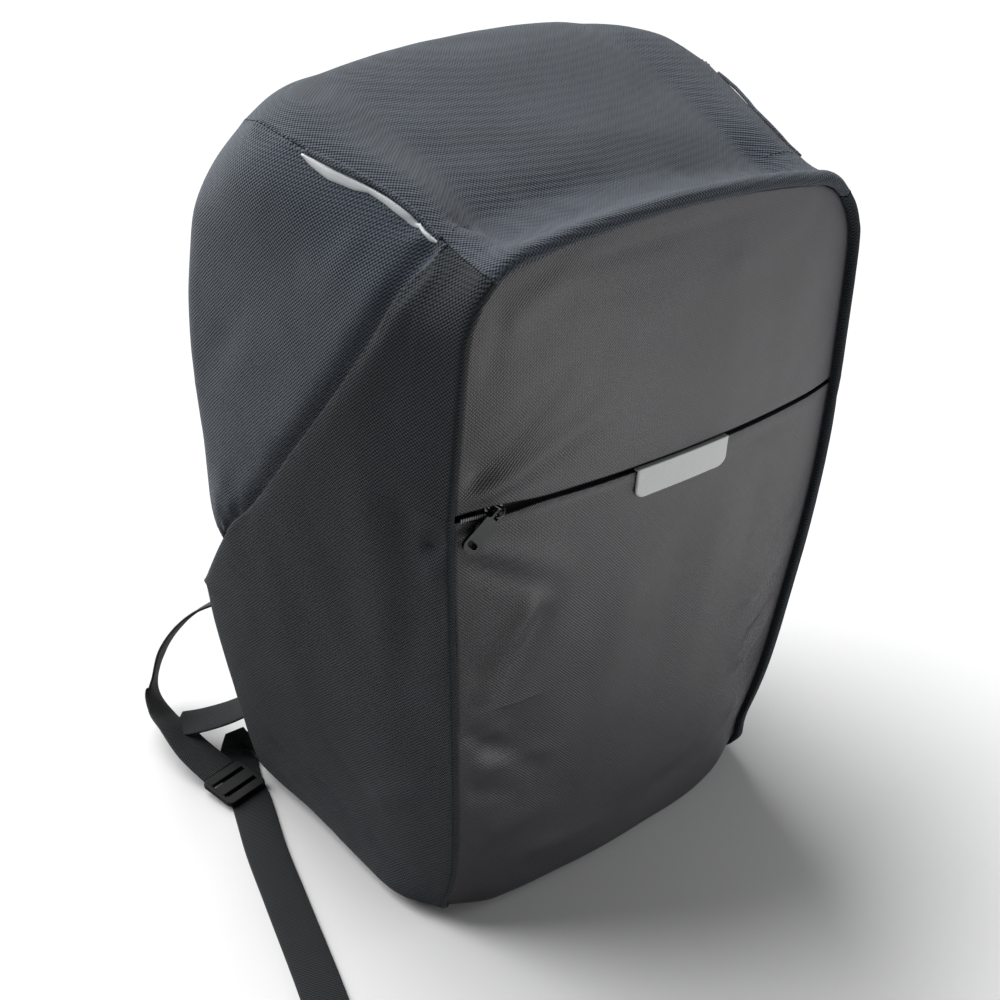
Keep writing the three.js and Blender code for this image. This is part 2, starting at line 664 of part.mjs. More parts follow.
// Frame on the pocket's face at the slider: along the puller, out of the face, and along the crossbar
const hingeFace = new THREE.Vector3(SLIDER_X, faceAt(SLIDER_X, SLIT_HEIGHT), SLIT_HEIGHT);
const tilt = radians(PULLER_TILT);
const crossbarOut = PULLER_THICK / 2 + 2 * SEAT;
const hinge = hingeFace.clone().add(new THREE.Vector3(0, -crossbarOut, 0));
const farX = SLIDER_X - PULLER_LONG * Math.cos(tilt);
const farHeight = SLIT_HEIGHT - PULLER_LONG * Math.sin(tilt);
const farEnd = new THREE.Vector3(farX, faceAt(farX, farHeight) - PULLER_STAND, farHeight);
const pullerAlong = farEnd.clone().sub(hinge).normalize();
const crossbar = pullerAlong.clone().cross(new THREE.Vector3(0, -1, 0)).normalize();
const pullerFrame = new THREE.Matrix4().makeBasis(pullerAlong, crossbar, pullerAlong.clone().cross(crossbar))
  .setPosition(hinge);

// The puller: a plate with a slot at its far end, two arms and the crossbar that turns under the bridge
function zipPuller() {
  const eyeHalf = BRIDGE_WIRE / 2 + PULLER_CLEAR;
  const neckHalf = eyeHalf + PULLER_ARM;
  const half = PULLER_WIDE / 2;
  const near = -PULLER_THICK / 2;
  const round = half * 0.7;
  const shape = new THREE.Shape();
  shape.moveTo(near, -neckHalf);
  shape.lineTo(PULLER_EYE, -neckHalf);
  shape.lineTo(PULLER_EYE + PULLER_ARM, -half);
  shape.lineTo(PULLER_LONG - round, -half);
  shape.absarc(PULLER_LONG - round, -half + round, round, -Math.PI / 2, 0);
  shape.absarc(PULLER_LONG - round, half - round, round, 0, Math.PI / 2);
  shape.lineTo(PULLER_EYE + PULLER_ARM, half);
  shape.lineTo(PULLER_EYE, neckHalf);
  shape.lineTo(near, neckHalf);
  shape.closePath();
  const eye = new THREE.Path();
  eye.moveTo(PULLER_THICK / 2, -eyeHalf);
  eye.lineTo(PULLER_EYE, -eyeHalf);
  eye.lineTo(PULLER_EYE, eyeHalf);
  eye.lineTo(PULLER_THICK / 2, eyeHalf);
  eye.closePath();
  const slot = new THREE.Path();
  const slotX = PULLER_LONG - PULLER_SLOT * 1.25;
  const slotHalf = half - PULLER_SLOT;
  slot.absarc(slotX, slotHalf, PULLER_SLOT / 2, 0, Math.PI);
  slot.absarc(slotX, -slotHalf, PULLER_SLOT / 2, Math.PI, 2 * Math.PI);
  shape.holes.push(eye, slot);
  const geometry = new THREE.ExtrudeGeometry(shape, { depth: PULLER_THICK, bevelEnabled: false, curveSegments: 6 });
  geometry.translate(0, 0, -PULLER_THICK / 2);
  geometry.applyMatrix4(pullerFrame);
  const puller = new THREE.Mesh(geometry, new THREE.MeshStandardMaterial({ color: 0x2a2d2c, roughness: 0.35 }));
  puller.name = 'zip_puller';
  return puller;
}

// Joins closed meshes into one body.
const wasm = await Module();
wasm.setup();
function solidOf(geometry) {
  const plain = (geometry.index ? geometry.toNonIndexed() : geometry).clone();
  plain.deleteAttribute('normal');
  plain.deleteAttribute('uv');
  const merged = mergeVertices(plain, 1e-4);
  return new wasm.Manifold(new wasm.Mesh({
    numProp: 3,
    vertProperties: Float32Array.from(merged.getAttribute('position').array),
    triVerts: Uint32Array.from(merged.index.array),
  }));
}
function geometryOf(solid) {
  const { vertProperties, triVerts, numProp } = solid.getMesh();
  const geometry = new THREE.BufferGeometry();
  const positions = [];
  for (let i = 0; i < vertProperties.length; i += numProp) positions.push(...vertProperties.slice(i, i + 3));
  geometry.setAttribute('position', new THREE.Float32BufferAttribute(positions, 3));
  geometry.setIndex(Array.from(triVerts));
  return geometry;
}

// The slider: a body under the slit's edges and a wire bridge that stands through the slit
function zipSlider() {
  const body = new THREE.BoxGeometry(SLIDER_LONG, SLIDER_THICK, SLIDER_WIDE);
  const slope = (faceAt(SLIDER_X + 1, SLIT_HEIGHT) - faceAt(SLIDER_X - 1, SLIT_HEIGHT)) / 2;
  body.rotateZ(Math.atan(slope));
  body.translate(hingeFace.x, hingeFace.y + PLATE_DEPTH + ZIP_EASE + SLIDER_THICK / 2, hingeFace.z);
  const top = crossbarOut + BRIDGE_WIRE / 2 + CROSSBAR_CLEAR + PULLER_THICK / 2;
  const half = BRIDGE_LONG / 2;
  const low = -(PLATE_DEPTH + ZIP_EASE + SLIDER_THICK / 2);
  const along = pullerAlong.clone().setY(0).normalize();
  const spot = (run, out) => hingeFace.clone().addScaledVector(along, run).add(new THREE.Vector3(0, -out, 0));
  const path = new THREE.CatmullRomCurve3([
    spot(-half, low), spot(-half, low / 2), spot(-half, top - 1.2), spot(-half + 1.1, top),
    spot(half - 1.1, top), spot(half, top - 1.2), spot(half, low / 2), spot(half, low),
  ], false, 'centripetal');
  const wire = new THREE.Shape().absarc(0, 0, BRIDGE_WIRE / 2, 0, Math.PI * 2);
  const bridge = new THREE.ExtrudeGeometry(wire, { steps: 24, extrudePath: path, curveSegments: 4 });
  const joined = solidOf(body).add(solidOf(bridge));
  const material = new THREE.MeshStandardMaterial({ color: 0x0c0d0e, roughness: 0.25, metalness: 0.6 });
  const slider = new THREE.Mesh(geometryOf(joined), material);
  slider.name = 'zip_slider';
  return slider;
}

// The tab folds over the pocket's edge and hangs down its face.
const TAB_ROWS = [
  { drop: -1, inside: 1, narrow: 0 }, { drop: -1, inside: 0, narrow: 0 }, { drop: 0.15, inside: 0, narrow: 0 },
  { drop: 0.45, inside: 0, narrow: 0 }, { drop: 0.72, inside: 0, narrow: 0 },
  { drop: 0.88, inside: 0, narrow: 0.28 }, { drop: 1, inside: 0, narrow: 1 },
];
const TAB_STEPS = 10;
function frontTab() {
  const pocketTop = SLIT_HEIGHT - SLIT / 2 - GAP / 2;
  const grid = TAB_ROWS.map(({ drop, inside, narrow }) => Array.from({ length: TAB_STEPS + 1 }, (_, k) => {
    const x = TAB_X + (TAB_WIDTH / 2 - narrow * TAB_CORNER) * (2 * k / TAB_STEPS - 1);
    const height = drop < 0 ? pocketTop + SEAT + TAB_THICK : pocketTop - drop * TAB_DROP;
    const depth = inside ? FRONT_WALL : -(SEAT + TAB_THICK);
    return new THREE.Vector3(x, faceAt(x, Math.min(height, SLIT_HEIGHT)) + depth, height);
  })).reverse();
  const triangles = gridTriangles(grid);
  const normals = new Map();
  addNormals(normals, triangles);
  return meshOf('front_tab', wallOf(triangles, TAB_THICK, normals, 0), 0xb5b8b6, 0.6);
}

// Reflective strips along the top seams, just below them on the side
const STRIP_STEPS = 10;
function seamStrip() {
  const rows = [SEAM_ANGLE - STRIP_ANGLE - STRIP_EDGE, SEAM_ANGLE - STRIP_EDGE].map(cornerStation);
  const grid = rows.map((station) => Array.from({ length: STRIP_STEPS + 1 }, (_, k) => beltPoint(
    station,
    STRIP_FROM + (STRIP_TO - STRIP_FROM) * k / STRIP_STEPS,
    STRIP_STAND + STRIP_THICK,
  )));
  const triangles = gridTriangles(grid);
  const normals = new Map();
  addNormals(normals, triangles);
  return wallOf(triangles, STRIP_THICK, normals, 0);
}

// A band of webbing or padding along stations that each hold a middle, a half width as a vector and a
// thickness. corner rounds the section.
function band(stations, corner = 0) {
  const rings = stations.map(({ middle, half, thick }, i) => {
    const before = stations[Math.max(0, i - 1)].middle;
    const after = stations[Math.min(stations.length - 1, i + 1)].middle;
    const along = after.clone().sub(before).normalize();
    const side = half.clone().addScaledVector(along, -half.dot(along));
    const out = side.clone().cross(along).normalize().multiplyScalar(thick / 2);
    const section = corner
      ? [[-1, -0.4], [-0.86, -0.9], [-0.5, -1], [0.5, -1], [0.86, -0.9], [1, -0.4],
        [1, 0.4], [0.86, 0.9], [0.5, 1], [-0.5, 1], [-0.86, 0.9], [-1, 0.4]]
      : [[-1, -1], [1, -1], [1, 1], [-1, 1]];
    const ring = section.map(([a, b]) => middle.clone().addScaledVector(side, a).addScaledVector(out, b));
    const sunk = Math.max(0, FLOOR_GAP - Math.min(...ring.map((point) => point.z)));
    return ring.map((point) => point.setZ(point.z + sunk));
  });
  return loft(rings);
}

// Smooth stations through a table of points, in steps along the curve
function alongTable(rows, steps, thick) {
  const middles = new THREE.CatmullRomCurve3(rows.map((row) => row.middle), false, 'centripetal');
  const halves = new THREE.CatmullRomCurve3(rows.map((row) => row.half), false, 'centripetal');
  return Array.from({ length: steps + 1 }, (_, k) => {
    const t = k / steps;
    return { middle: middles.getPoint(t), half: halves.getPoint(t), thick };
  });
}

const backFace = (x, height) => {
  const across = x / rearHalf(height);
  const fade = clamp((REAR_HEIGHT - BACK_ZIP - height) / REAR_CORNER, 0, 1);
  return rearDepth(height) + 2 + BACK_SWELL * smooth(fade) * clamp(1 - across ** 2, 0, 1) ** 0.7;
};

// Padded straps: up is a share of the way from STRAP_END to the top, x of REAR_HALF, off of STRAP_THICK and
// wide of STRAP_WIDE.
const STRAP_ROWS = [
  { up: 1.00, x: 0.27, off: 0.20, wide: 0.90 },
  { up: 0.92, x: 0.31, off: 0.46, wide: 1.00 },
  { up: 0.80, x: 0.38, off: 1.20, wide: 1.00 },
  { up: 0.61, x: 0.47, off: 2.30, wide: 1.00 },
  { up: 0.42, x: 0.57, off: 2.60, wide: 1.00 },
  { up: 0.24, x: 0.66, off: 2.10, wide: 0.92 },
  { up: 0.09, x: 0.74, off: 1.20, wide: 0.70 },
  { up: 0.00, x: 0.78, off: 0.80, wide: 0.50 },
];
function strapRow({ up, x, off, wide }) {
  const height = THREE.MathUtils.lerp(STRAP_END, STRAP_TOP * REAR_HEIGHT, up);
  const at = x * REAR_HALF;
  const y = backFace(at, height) + SEAT + STRAP_THICK * (0.5 + off);
  return { middle: new THREE.Vector3(at, y, height), half: new THREE.Vector3(wide * STRAP_WIDE / 2, 0, 0) };
}
const shoulderStrap = () => band(alongTable(STRAP_ROWS.map(strapRow), 22, STRAP_THICK), 1);

// Webbing: x is a share of REAR_HALF, back of LOOP_REACH behind the back and up of STRAP_END above the floor.
// The half width points along wx, wy and wz.
const LEFT_WEB = [
  { x: -0.78, back: 0.19, up: 0.959, wx: 1.00, wy: 0.00, wz: 0.00 },
  { x: -0.87, back: 0.20, up: 0.90, wx: 0.88, wy: 0.30, wz: 0.00 },
  { x: -0.99, back: 0.38, up: 0.79, wx: 0.87, wy: 0.45, wz: -0.20 },
  { x: -1.04, back: 0.70, up: 0.55, wx: 0.89, wy: 0.43, wz: 0.11 },
  { x: -1.06, back: 0.90, up: 0.31, wx: 0.74, wy: 0.66, wz: 0.12 },
  { x: -1.09, back: 0.91, up: 0.17, wx: 0.62, wy: 0.66, wz: -0.42 },
  { x: -1.13, back: 0.70, up: 0.115, wx: 0.86, wy: 0.20, wz: -0.42 },
  { x: -1.13, back: 0.44, up: 0.115, wx: 0.92, wy: 0.10, wz: -0.36 },
  { x: -1.12, back: 0.10, up: 0.085, wx: 0.96, wy: 0.05, wz: -0.10 },
  { x: -1.09, back: -0.19, up: 0.046, wx: 1.00, wy: 0.00, wz: 0.00 },
];
const RIGHT_WEB = [
  { x: 0.78, back: 0.19, up: 0.963, wx: 1, wy: 0, wz: 0 },
  { x: 0.77, back: 0.22, up: 0.75, wx: 1, wy: 0, wz: 0 },
  { x: 0.74, back: 0.32, up: 0.42, wx: 1, wy: 0, wz: 0 },
  { x: 0.72, back: 0.46, up: 0.22, wx: 1, wy: 0, wz: 0 },
];
const LEFT_ANCHOR = [
  { x: -0.85, back: 0.02, up: 0.280, wx: 0.60, wy: 0.80, wz: 0 },
  { x: -0.95, back: 0.13, up: 0.130, wx: 0.25, wy: 0.97, wz: 0 },
  { x: -1.03, back: 0.31, up: 0.012, wx: 0.45, wy: 0.89, wz: 0 },
  { x: -1.09, back: 0.44, up: 0.006, wx: 0.66, wy: 0.76, wz: 0 },
];
const LEFT_TAIL = [
  { x: -0.720, back: 0.02, up: 0.045, wx: 0, wy: 1, wz: 0 },
  { x: -0.830, back: 0.04, up: 0.015, wx: 0.5, wy: 0.8, wz: 0 },
  { x: -0.940, back: -0.02, up: 0, wx: 0.85, wy: 0.5, wz: 0 },
  { x: -1.015, back: -0.26, up: 0, wx: 0.95, wy: -0.3, wz: 0 },
  { x: -1.070, back: -0.56, up: 0, wx: 0.93, wy: -0.35, wz: 0 },
  { x: -1.190, back: -1.10, up: 0, wx: 0.93, wy: -0.33, wz: 0 },
  { x: -1.278, back: -1.63, up: 0, wx: 0.94, wy: -0.32, wz: 0 },
  { x: -1.437, back: -2.67, up: 0, wx: 0.95, wy: -0.30, wz: 0 },
  { x: -1.520, back: -3.16, up: 0, wx: 0.95, wy: -0.30, wz: 0 },
];
const RIGHT_TAIL = [
  { x: 0.70, back: -0.026, up: 0.045, wx: 0, wy: 1, wz: 0 },
  { x: 0.78, back: 0.10, up: 0.010, wx: 0.9, wy: 0.4, wz: 0 },
  { x: 0.74, back: 0.40, up: 0, wx: 0.9, wy: 0.4, wz: 0 },
  { x: 0.55, back: 0.70, up: 0, wx: 0.5, wy: 0.8, wz: 0 },
  { x: 0.20, back: 0.78, up: 0, wx: 0, wy: 1, wz: 0 },
  { x: -0.45, back: 0.70, up: 0, wx: 0, wy: 1, wz: 0 },
];
const webbing = (table, steps) => band(alongTable(table.map(({ x, back, up, wx, wy, wz }) => ({
  middle: new THREE.Vector3(
    x * REAR_HALF,
    REAR_DEPTH + back * LOOP_REACH,
    up * STRAP_END + WEB_THICK / 2 + FLOOR_GAP,
  ),
  half: new THREE.Vector3(wx, wy, wz).normalize().multiplyScalar(WEB / 2),
})), steps, WEB_THICK));

// A ladder-lock: a frame with two slots, at the end of its webbing
function strapLock(name, table, dip) {
  const [before, last] = table.slice(-2).map(({ x, back, up }) => new THREE.Vector3(
    x * REAR_HALF, REAR_DEPTH + back * LOOP_REACH, up * STRAP_END + WEB_THICK / 2 + FLOOR_GAP,
  ));
  const along = last.clone().sub(before).setZ(0).normalize();
  along.z = -dip;
  const middle = last.clone().addScaledVector(along.normalize(), LOCK_LONG / 2 + LOCK_SEAT);
  const long = LOCK_LONG / 2;
  const wide = LOCK_WIDE / 2;
  const outline = [];
  for (const quarter of [0, 1, 2, 3]) {
    const start = quarter * Math.PI / 2;
    const x = (quarter === 0 || quarter === 3 ? 1 : -1) * (long - LOCK_CORNER);
    const y = (quarter < 2 ? 1 : -1) * (wide - LOCK_CORNER);
    for (const step of [0, 0.5, 1]) {
      const turn = start + step * Math.PI / 2;
      outline.push(new THREE.Vector2(x + LOCK_CORNER * Math.cos(turn), y + LOCK_CORNER * Math.sin(turn)));
    }
  }
  const plate = new THREE.ExtrudeGeometry(new THREE.Shape(outline), { depth: LOCK_THICK, bevelEnabled: false });
  plate.translate(0, 0, -LOCK_THICK / 2);
  let frame = solidOf(plate);
  for (const at of [-LOCK_SLOT_AT, LOCK_SLOT_AT]) {
    const slot = new THREE.BoxGeometry(LOCK_SLOT, WEB + 2 * SEAT, 2 * LOCK_THICK);
    frame = frame.subtract(solidOf(slot.translate(at * long, 0, 0)));
  }
  const geometry = geometryOf(frame);
  const side = new THREE.Vector3(0, 0, 1).cross(along).normalize();
  geometry.applyMatrix4(new THREE.Matrix4().makeBasis(along, side, along.clone().cross(side)).setPosition(middle));
  const lock = new THREE.Mesh(geometry, new THREE.MeshStandardMaterial({ color: 0x101214, roughness: 0.5 }));
  lock.name = name;
  return lock;
}

bag.add(pocketZip(), zipSlider(), zipPuller(), frontTab());
const strip = seamStrip();
const REFLECTIVE = 0xc4c7c8;
bag.add(meshOf('seam_strip_right', strip, REFLECTIVE, 0.4));
bag.add(meshOf('seam_strip_left', strip.map(mirrorTriangle), REFLECTIVE, 0.4));
const WEBBING = 0x14171b;
const pad = shoulderStrap();
const straps = {
  shoulder_strap_right: pad,
  shoulder_strap_left: pad.map(mirrorTriangle),
  strap_webbing_left: webbing(LEFT_WEB, 34),
  strap_webbing_right: webbing(RIGHT_WEB, 10),
  strap_anchor_left: webbing(LEFT_ANCHOR, 8),
  strap_tail_left: webbing(LEFT_TAIL, 26),
  strap_tail_right: webbing(RIGHT_TAIL, 22),
};
for (const [name, triangles] of Object.entries(straps)) bag.add(meshOf(name, triangles, WEBBING, 0.85));
bag.add(strapLock('strap_lock_left', LEFT_WEB, LOCK_DIP), strapLock('strap_lock_right', RIGHT_WEB, RIGHT_DIP));

export default bag;
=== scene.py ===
# %% [markdown]
# # An anti theft backpack, dressed in cloth
# This lesson turns the plain solids of a backpack into cloth, webbing, zips and buckles. The solids come
# from the CAD model and fix where everything is. Every size below is in metres unless it says millimetres.

# %% Load the frame
import math

import bmesh
import bpy
import numpy as np
from mathutils import Matrix, Vector, kdtree, noise
from mathutils.bvhtree import BVHTree


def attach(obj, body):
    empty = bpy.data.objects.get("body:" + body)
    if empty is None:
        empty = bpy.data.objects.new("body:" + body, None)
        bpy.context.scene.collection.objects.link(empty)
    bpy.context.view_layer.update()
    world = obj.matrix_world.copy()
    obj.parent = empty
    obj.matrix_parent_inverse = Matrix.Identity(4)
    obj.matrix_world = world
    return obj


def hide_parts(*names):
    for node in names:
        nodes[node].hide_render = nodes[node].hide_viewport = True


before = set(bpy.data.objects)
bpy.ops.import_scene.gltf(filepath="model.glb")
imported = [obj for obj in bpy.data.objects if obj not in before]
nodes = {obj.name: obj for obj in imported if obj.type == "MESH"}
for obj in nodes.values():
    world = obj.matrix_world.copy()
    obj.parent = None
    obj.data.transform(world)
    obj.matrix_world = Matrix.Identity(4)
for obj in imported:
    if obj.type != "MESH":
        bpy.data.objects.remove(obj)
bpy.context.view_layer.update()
MM = 0.001
FLOOR_GAP = 0.15 * MM

# %% [markdown]
# ## The camera
# The picture looks down on the bag's front left corner from about a metre away. A camera can be aimed at a
# target with a constraint, or be given its axes. The axes are given here, because the picture is also rolled
# a few degrees, which a constraint makes awkward.

# %% Camera
def picture_axes(azimuth, elevation, roll):
    """The camera's right, up and backward directions from three angles in degrees."""
    a, e, r = (math.radians(v) for v in (azimuth, elevation, roll))
    back = Vector((math.sin(a) * math.cos(e), -math.cos(a) * math.cos(e), math.sin(e)))
    right = (-back).cross(Vector((0, 0, 1))).normalized()
    down = (-back).cross(right)
    turned = right * math.cos(r) + down * math.sin(r)
    below = down * math.cos(r) - right * math.sin(r)
    return turned, -below, back


# the camera's place and angles, and its focal length in sensor widths, fitted to the picture's perspective
CAMERA_PLACE = (-0.5524, -0.5715, 0.6615)
CAMERA_ANGLES = (-42.276, 30.262, -4.164)
FOCAL_WIDTHS = 1.5471
SENSOR = 36

lens = bpy.data.cameras.new("picture_camera")
lens.sensor_width = SENSOR
lens.lens = SENSOR * FOCAL_WIDTHS
camera = bpy.data.objects.new("picture_camera", lens)
turn = Matrix(picture_axes(*CAMERA_ANGLES)).transposed().to_4x4()
camera.matrix_world = Matrix.Translation(CAMERA_PLACE) @ turn
bpy.context.scene.collection.objects.link(camera)
bpy.context.scene.camera = camera
print("lens:", round(lens.lens, 1), "mm")

# %% [markdown]
# ## Colours and nodes
# Paint charts and screens give sRGB colours, and shaders want linear light. One function turns a hex value
# into linear light, and one adds a node with its settings and links, so that each material reads as a recipe.

# %% Colour and node helpers
def linear(code):
    """A hex sRGB colour as linear RGBA."""
    parts = [int(code[i:i + 2], 16) / 255 for i in (1, 3, 5)]
    return [c / 12.92 if c <= 0.04045 else ((c + 0.055) / 1.055) ** 2.4 for c in parts] + [1.0]


def add(tree, kind, settings=None, links=None):
    """Adds a node. Settings name its properties or inputs, and links name the outputs that feed its inputs."""
    node = tree.nodes.new("ShaderNode" + kind)
    for key, value in (settings or {}).items():
        if isinstance(key, str) and hasattr(node, key):
            setattr(node, key, value)
        else:
            node.inputs[key].default_value = value
    for key, socket in (links or {}).items():
        tree.links.new(socket, node.inputs[key])
    return node


def blank(name):
    """A new material with only its output, and its node tree."""
    material = bpy.data.materials.new(name)
    material.use_nodes = True
    material.node_tree.nodes.clear()
    return material, material.node_tree


def finish_with(tree, shader):
    """Feeds the shader to the material's output."""
    add(tree, "OutputMaterial", links={"Surface": shader.outputs[0]})


print("white is", linear("#ffffff")[:3])

# %% [markdown]
# ## Woven polyester
# The sides and the top are a coarse plain weave of dyed polyester yarn. The picture shows its cells about
# 1 mm apart, and one pixel is 0.7 mm, so a finer weave wouldn't show. The cloth has no UV map, because the
# panels are sewn in three directions. Instead the weave is worked out in three planes from the place on the
# bag, and each plane counts as much as the surface faces it. Yarn has a soft sheen and no gloss. The pleated
# sides are the same cloth, but they get a darker copy of it with less sheen, which is painted shade.

# %% Height of a weave
RIB_SHARE = 0.35


def woven_height(tree, spacing, ribbed=1.0):
    """The height of a plain weave, about -1 to 1, from the place on the bag. spacing is in metres."""
    place = add(tree, "TexCoord").outputs["Object"]
    wobble = add(tree, "TexNoise", {"Scale": 45.0, "Detail": 1.0}, {"Vector": place})
    shift = add(tree, "VectorMath", {"operation": "SCALE", "Scale": 0.0012}, {0: wobble.outputs["Color"]})
    moved = add(tree, "VectorMath", {"operation": "ADD"}, {0: place, 1: shift.outputs[0]})
    phase = add(tree, "VectorMath", {"operation": "SCALE", "Scale": math.pi / spacing}, {0: moved.outputs[0]})
    wave = add(tree, "VectorMath", {"operation": "SINE"}, {0: phase.outputs[0]})
    part = add(tree, "SeparateXYZ", links={0: wave.outputs[0]})
    x, y, z = part.outputs
    first = add(tree, "CombineXYZ", links={0: y, 1: x, 2: x})
    second = add(tree, "CombineXYZ", links={0: z, 1: z, 2: y})
    planes = add(tree, "VectorMath", {"operation": "MULTIPLY"}, {0: first.outputs[0], 1: second.outputs[0]})
    facing = add(tree, "NewGeometry").outputs["Normal"]
    square = add(tree, "VectorMath", {"operation": "MULTIPLY"}, {0: facing, 1: facing})
    fourth = add(tree, "VectorMath", {"operation": "MULTIPLY"}, {0: square.outputs[0], 1: square.outputs[0]})
    total = add(tree, "VectorMath", {"operation": "DOT_PRODUCT", 1: (1, 1, 1)}, {0: fourth.outputs[0]})
    mixed = add(tree, "VectorMath", {"operation": "DOT_PRODUCT"}, {0: planes.outputs[0], 1: fourth.outputs[0]})
    weave = add(tree, "Math", {"operation": "DIVIDE"}, {0: mixed.outputs["Value"], 1: total.outputs["Value"]})
    ribs = add(tree, "Math", {"operation": "MULTIPLY", 1: RIB_SHARE * ribbed}, {0: z})
    return add(tree, "Math", {"operation": "ADD"}, {0: weave.outputs[0], 1: ribs.outputs[0]}).outputs[0]


print("ribs add", RIB_SHARE, "to a weave of 1")

# %% Woven polyester
# how much the large clouds and the yarn's flecks add to the weave's tone, and what they are taken back by
CLOUDS, FLECKS, CENTRE = 0.35, 0.35, 0.34


def cloth(name, dark, light, spacing, roughness, sheen, depth, ribbed=1.0, coat=0.0, gloss=0.12):
    """A woven cloth: its two yarn colours, thread spacing and weave depth in metres, and how it shines."""
    material, tree = blank(name)
    height = woven_height(tree, spacing, ribbed)
    place = add(tree, "TexCoord").outputs["Object"]
    mottle = add(tree, "TexNoise", {"Scale": 16.0, "Detail": 6.0, "Roughness": 0.6}, {"Vector": place})
    yarn = add(tree, "TexNoise", {"Scale": 620.0, "Detail": 2.0}, {"Vector": place})
    half = add(tree, "MapRange", {"From Min": -1.2, "From Max": 1.2, "To Min": 0.12, "To Max": 0.68},
               {"Value": height})
    cloudy = add(tree, "Math", {"operation": "MULTIPLY_ADD", 1: CLOUDS},
                 {0: mottle.outputs[0], 2: half.outputs[0]})
    flecks = add(tree, "Math", {"operation": "MULTIPLY_ADD", 1: FLECKS},
                 {0: yarn.outputs[0], 2: cloudy.outputs[0]})
    less = add(tree, "Math", {"operation": "SUBTRACT", 1: CENTRE}, {0: flecks.outputs[0]})
    ramp = add(tree, "ValToRGB", links={0: less.outputs[0]})
    ramp.color_ramp.elements[0].color = linear(dark)
    ramp.color_ramp.elements[1].color = linear(light)
    bump = add(tree, "Bump", {"Strength": 0.8, "Distance": depth}, {"Height": height})
    shader = add(tree, "BsdfPrincipled", {
        "Roughness": roughness, "Sheen Weight": sheen, "Sheen Roughness": 0.5, "IOR": 1.5,
        "Coat Weight": coat, "Coat Roughness": 0.38, "Specular IOR Level": gloss,
    }, {"Base Color": ramp.outputs[0], "Normal": bump.outputs[0]})
    finish_with(tree, shader)
    return material


WOVEN_THREAD = 1.0 * MM
WOVEN_DEPTH = 0.45 * MM
woven_polyester = cloth("woven_polyester", "#10141a", "#39424c", WOVEN_THREAD,
                        roughness=0.8, sheen=0.12, depth=WOVEN_DEPTH)
# the pleated sides and their folded edges: the same cloth, darker and with less sheen, as painted shade
painted_shade_polyester = cloth("woven_polyester_painted_shade", "#090b0d", "#262b30", WOVEN_THREAD,
                         roughness=0.85, sheen=0.05, depth=WOVEN_DEPTH)
print("threads drawn", WOVEN_THREAD / MM, "mm apart")

# %% [markdown]
# ## Coated polyester
# The front is a finer cloth with a polyurethane coating on its face. The coating fills the weave, so the
# threads show less, and it gives long soft highlights along the folds. That is a coat with a broad
# roughness over a cloth that is a little warmer than the sides.

# %% Coated polyester
COATED_THREAD = 0.9 * MM
coated_polyester = cloth("coated_polyester", "#131214", "#2a292e", COATED_THREAD, roughness=0.42, sheen=0.0,
                         depth=0.18 * MM, ribbed=0.4, coat=0.15, gloss=0.32)
print("coated threads drawn", COATED_THREAD / MM, "mm apart")

# %% [markdown]
# ## Webbing, padding and zip tape
# Straps are ribbed polyester webbing, woven across with a thick weft, and their ribs run across the strap.
# The ribs follow the strap's own UV map, in metres along and across it. The padding's spacer mesh has small
# round holes, and the zip's tape is a fine knit.

# %% Webbing
def webbing_cloth(name, dark, light, rib):
    """Ribbed webbing: wavy ribs run across the strap, rib metres apart."""
    material, tree = blank(name)
    place = add(tree, "UVMap").outputs[0]
    part = add(tree, "SeparateXYZ", links={0: place})
    along = add(tree, "Math", {"operation": "MULTIPLY", 1: 2 * math.pi / rib}, {0: part.outputs[1]})
    across = add(tree, "Math", {"operation": "MULTIPLY", 1: 2 * math.pi / (rib * 1.6)}, {0: part.outputs[0]})
    slant = add(tree, "Math", {"operation": "SINE"}, {0: across.outputs[0]})
    phase = add(tree, "Math", {"operation": "MULTIPLY_ADD", 1: 0.9}, {0: slant.outputs[0], 2: along.outputs[0]})
    ribs = add(tree, "Math", {"operation": "SINE"}, {0: phase.outputs[0]})
    solid = add(tree, "TexCoord").outputs["Object"]
    mottle = add(tree, "TexNoise", {"Scale": 60.0, "Detail": 4.0}, {"Vector": solid})
    tone = add(tree, "MapRange", {"From Min": -1.0, "From Max": 1.0, "To Min": 0.1, "To Max": 0.6},
               {"Value": ribs.outputs[0]})
    mixed = add(tree, "Math", {"operation": "MULTIPLY_ADD", 1: 0.4}, {0: mottle.outputs[0], 2: tone.outputs[0]})
    ramp = add(tree, "ValToRGB", links={0: mixed.outputs[0]})
    ramp.color_ramp.elements[0].color = linear(dark)
    ramp.color_ramp.elements[1].color = linear(light)
    bump = add(tree, "Bump", {"Strength": 0.7, "Distance": 0.0003}, {"Height": ribs.outputs[0]})
    shader = add(tree, "BsdfPrincipled", {
        "Roughness": 0.7, "Sheen Weight": 0.03, "Specular IOR Level": 0.15, "IOR": 1.5,
    }, {"Base Color": ramp.outputs[0], "Normal": bump.outputs[0]})
    finish_with(tree, shader)
    return material


RIB = 1.2 * MM
polyester_webbing = webbing_cloth("polyester_webbing", "#040506", "#101316", RIB)
print("webbing's ribs", round(RIB / MM, 1), "mm apart")

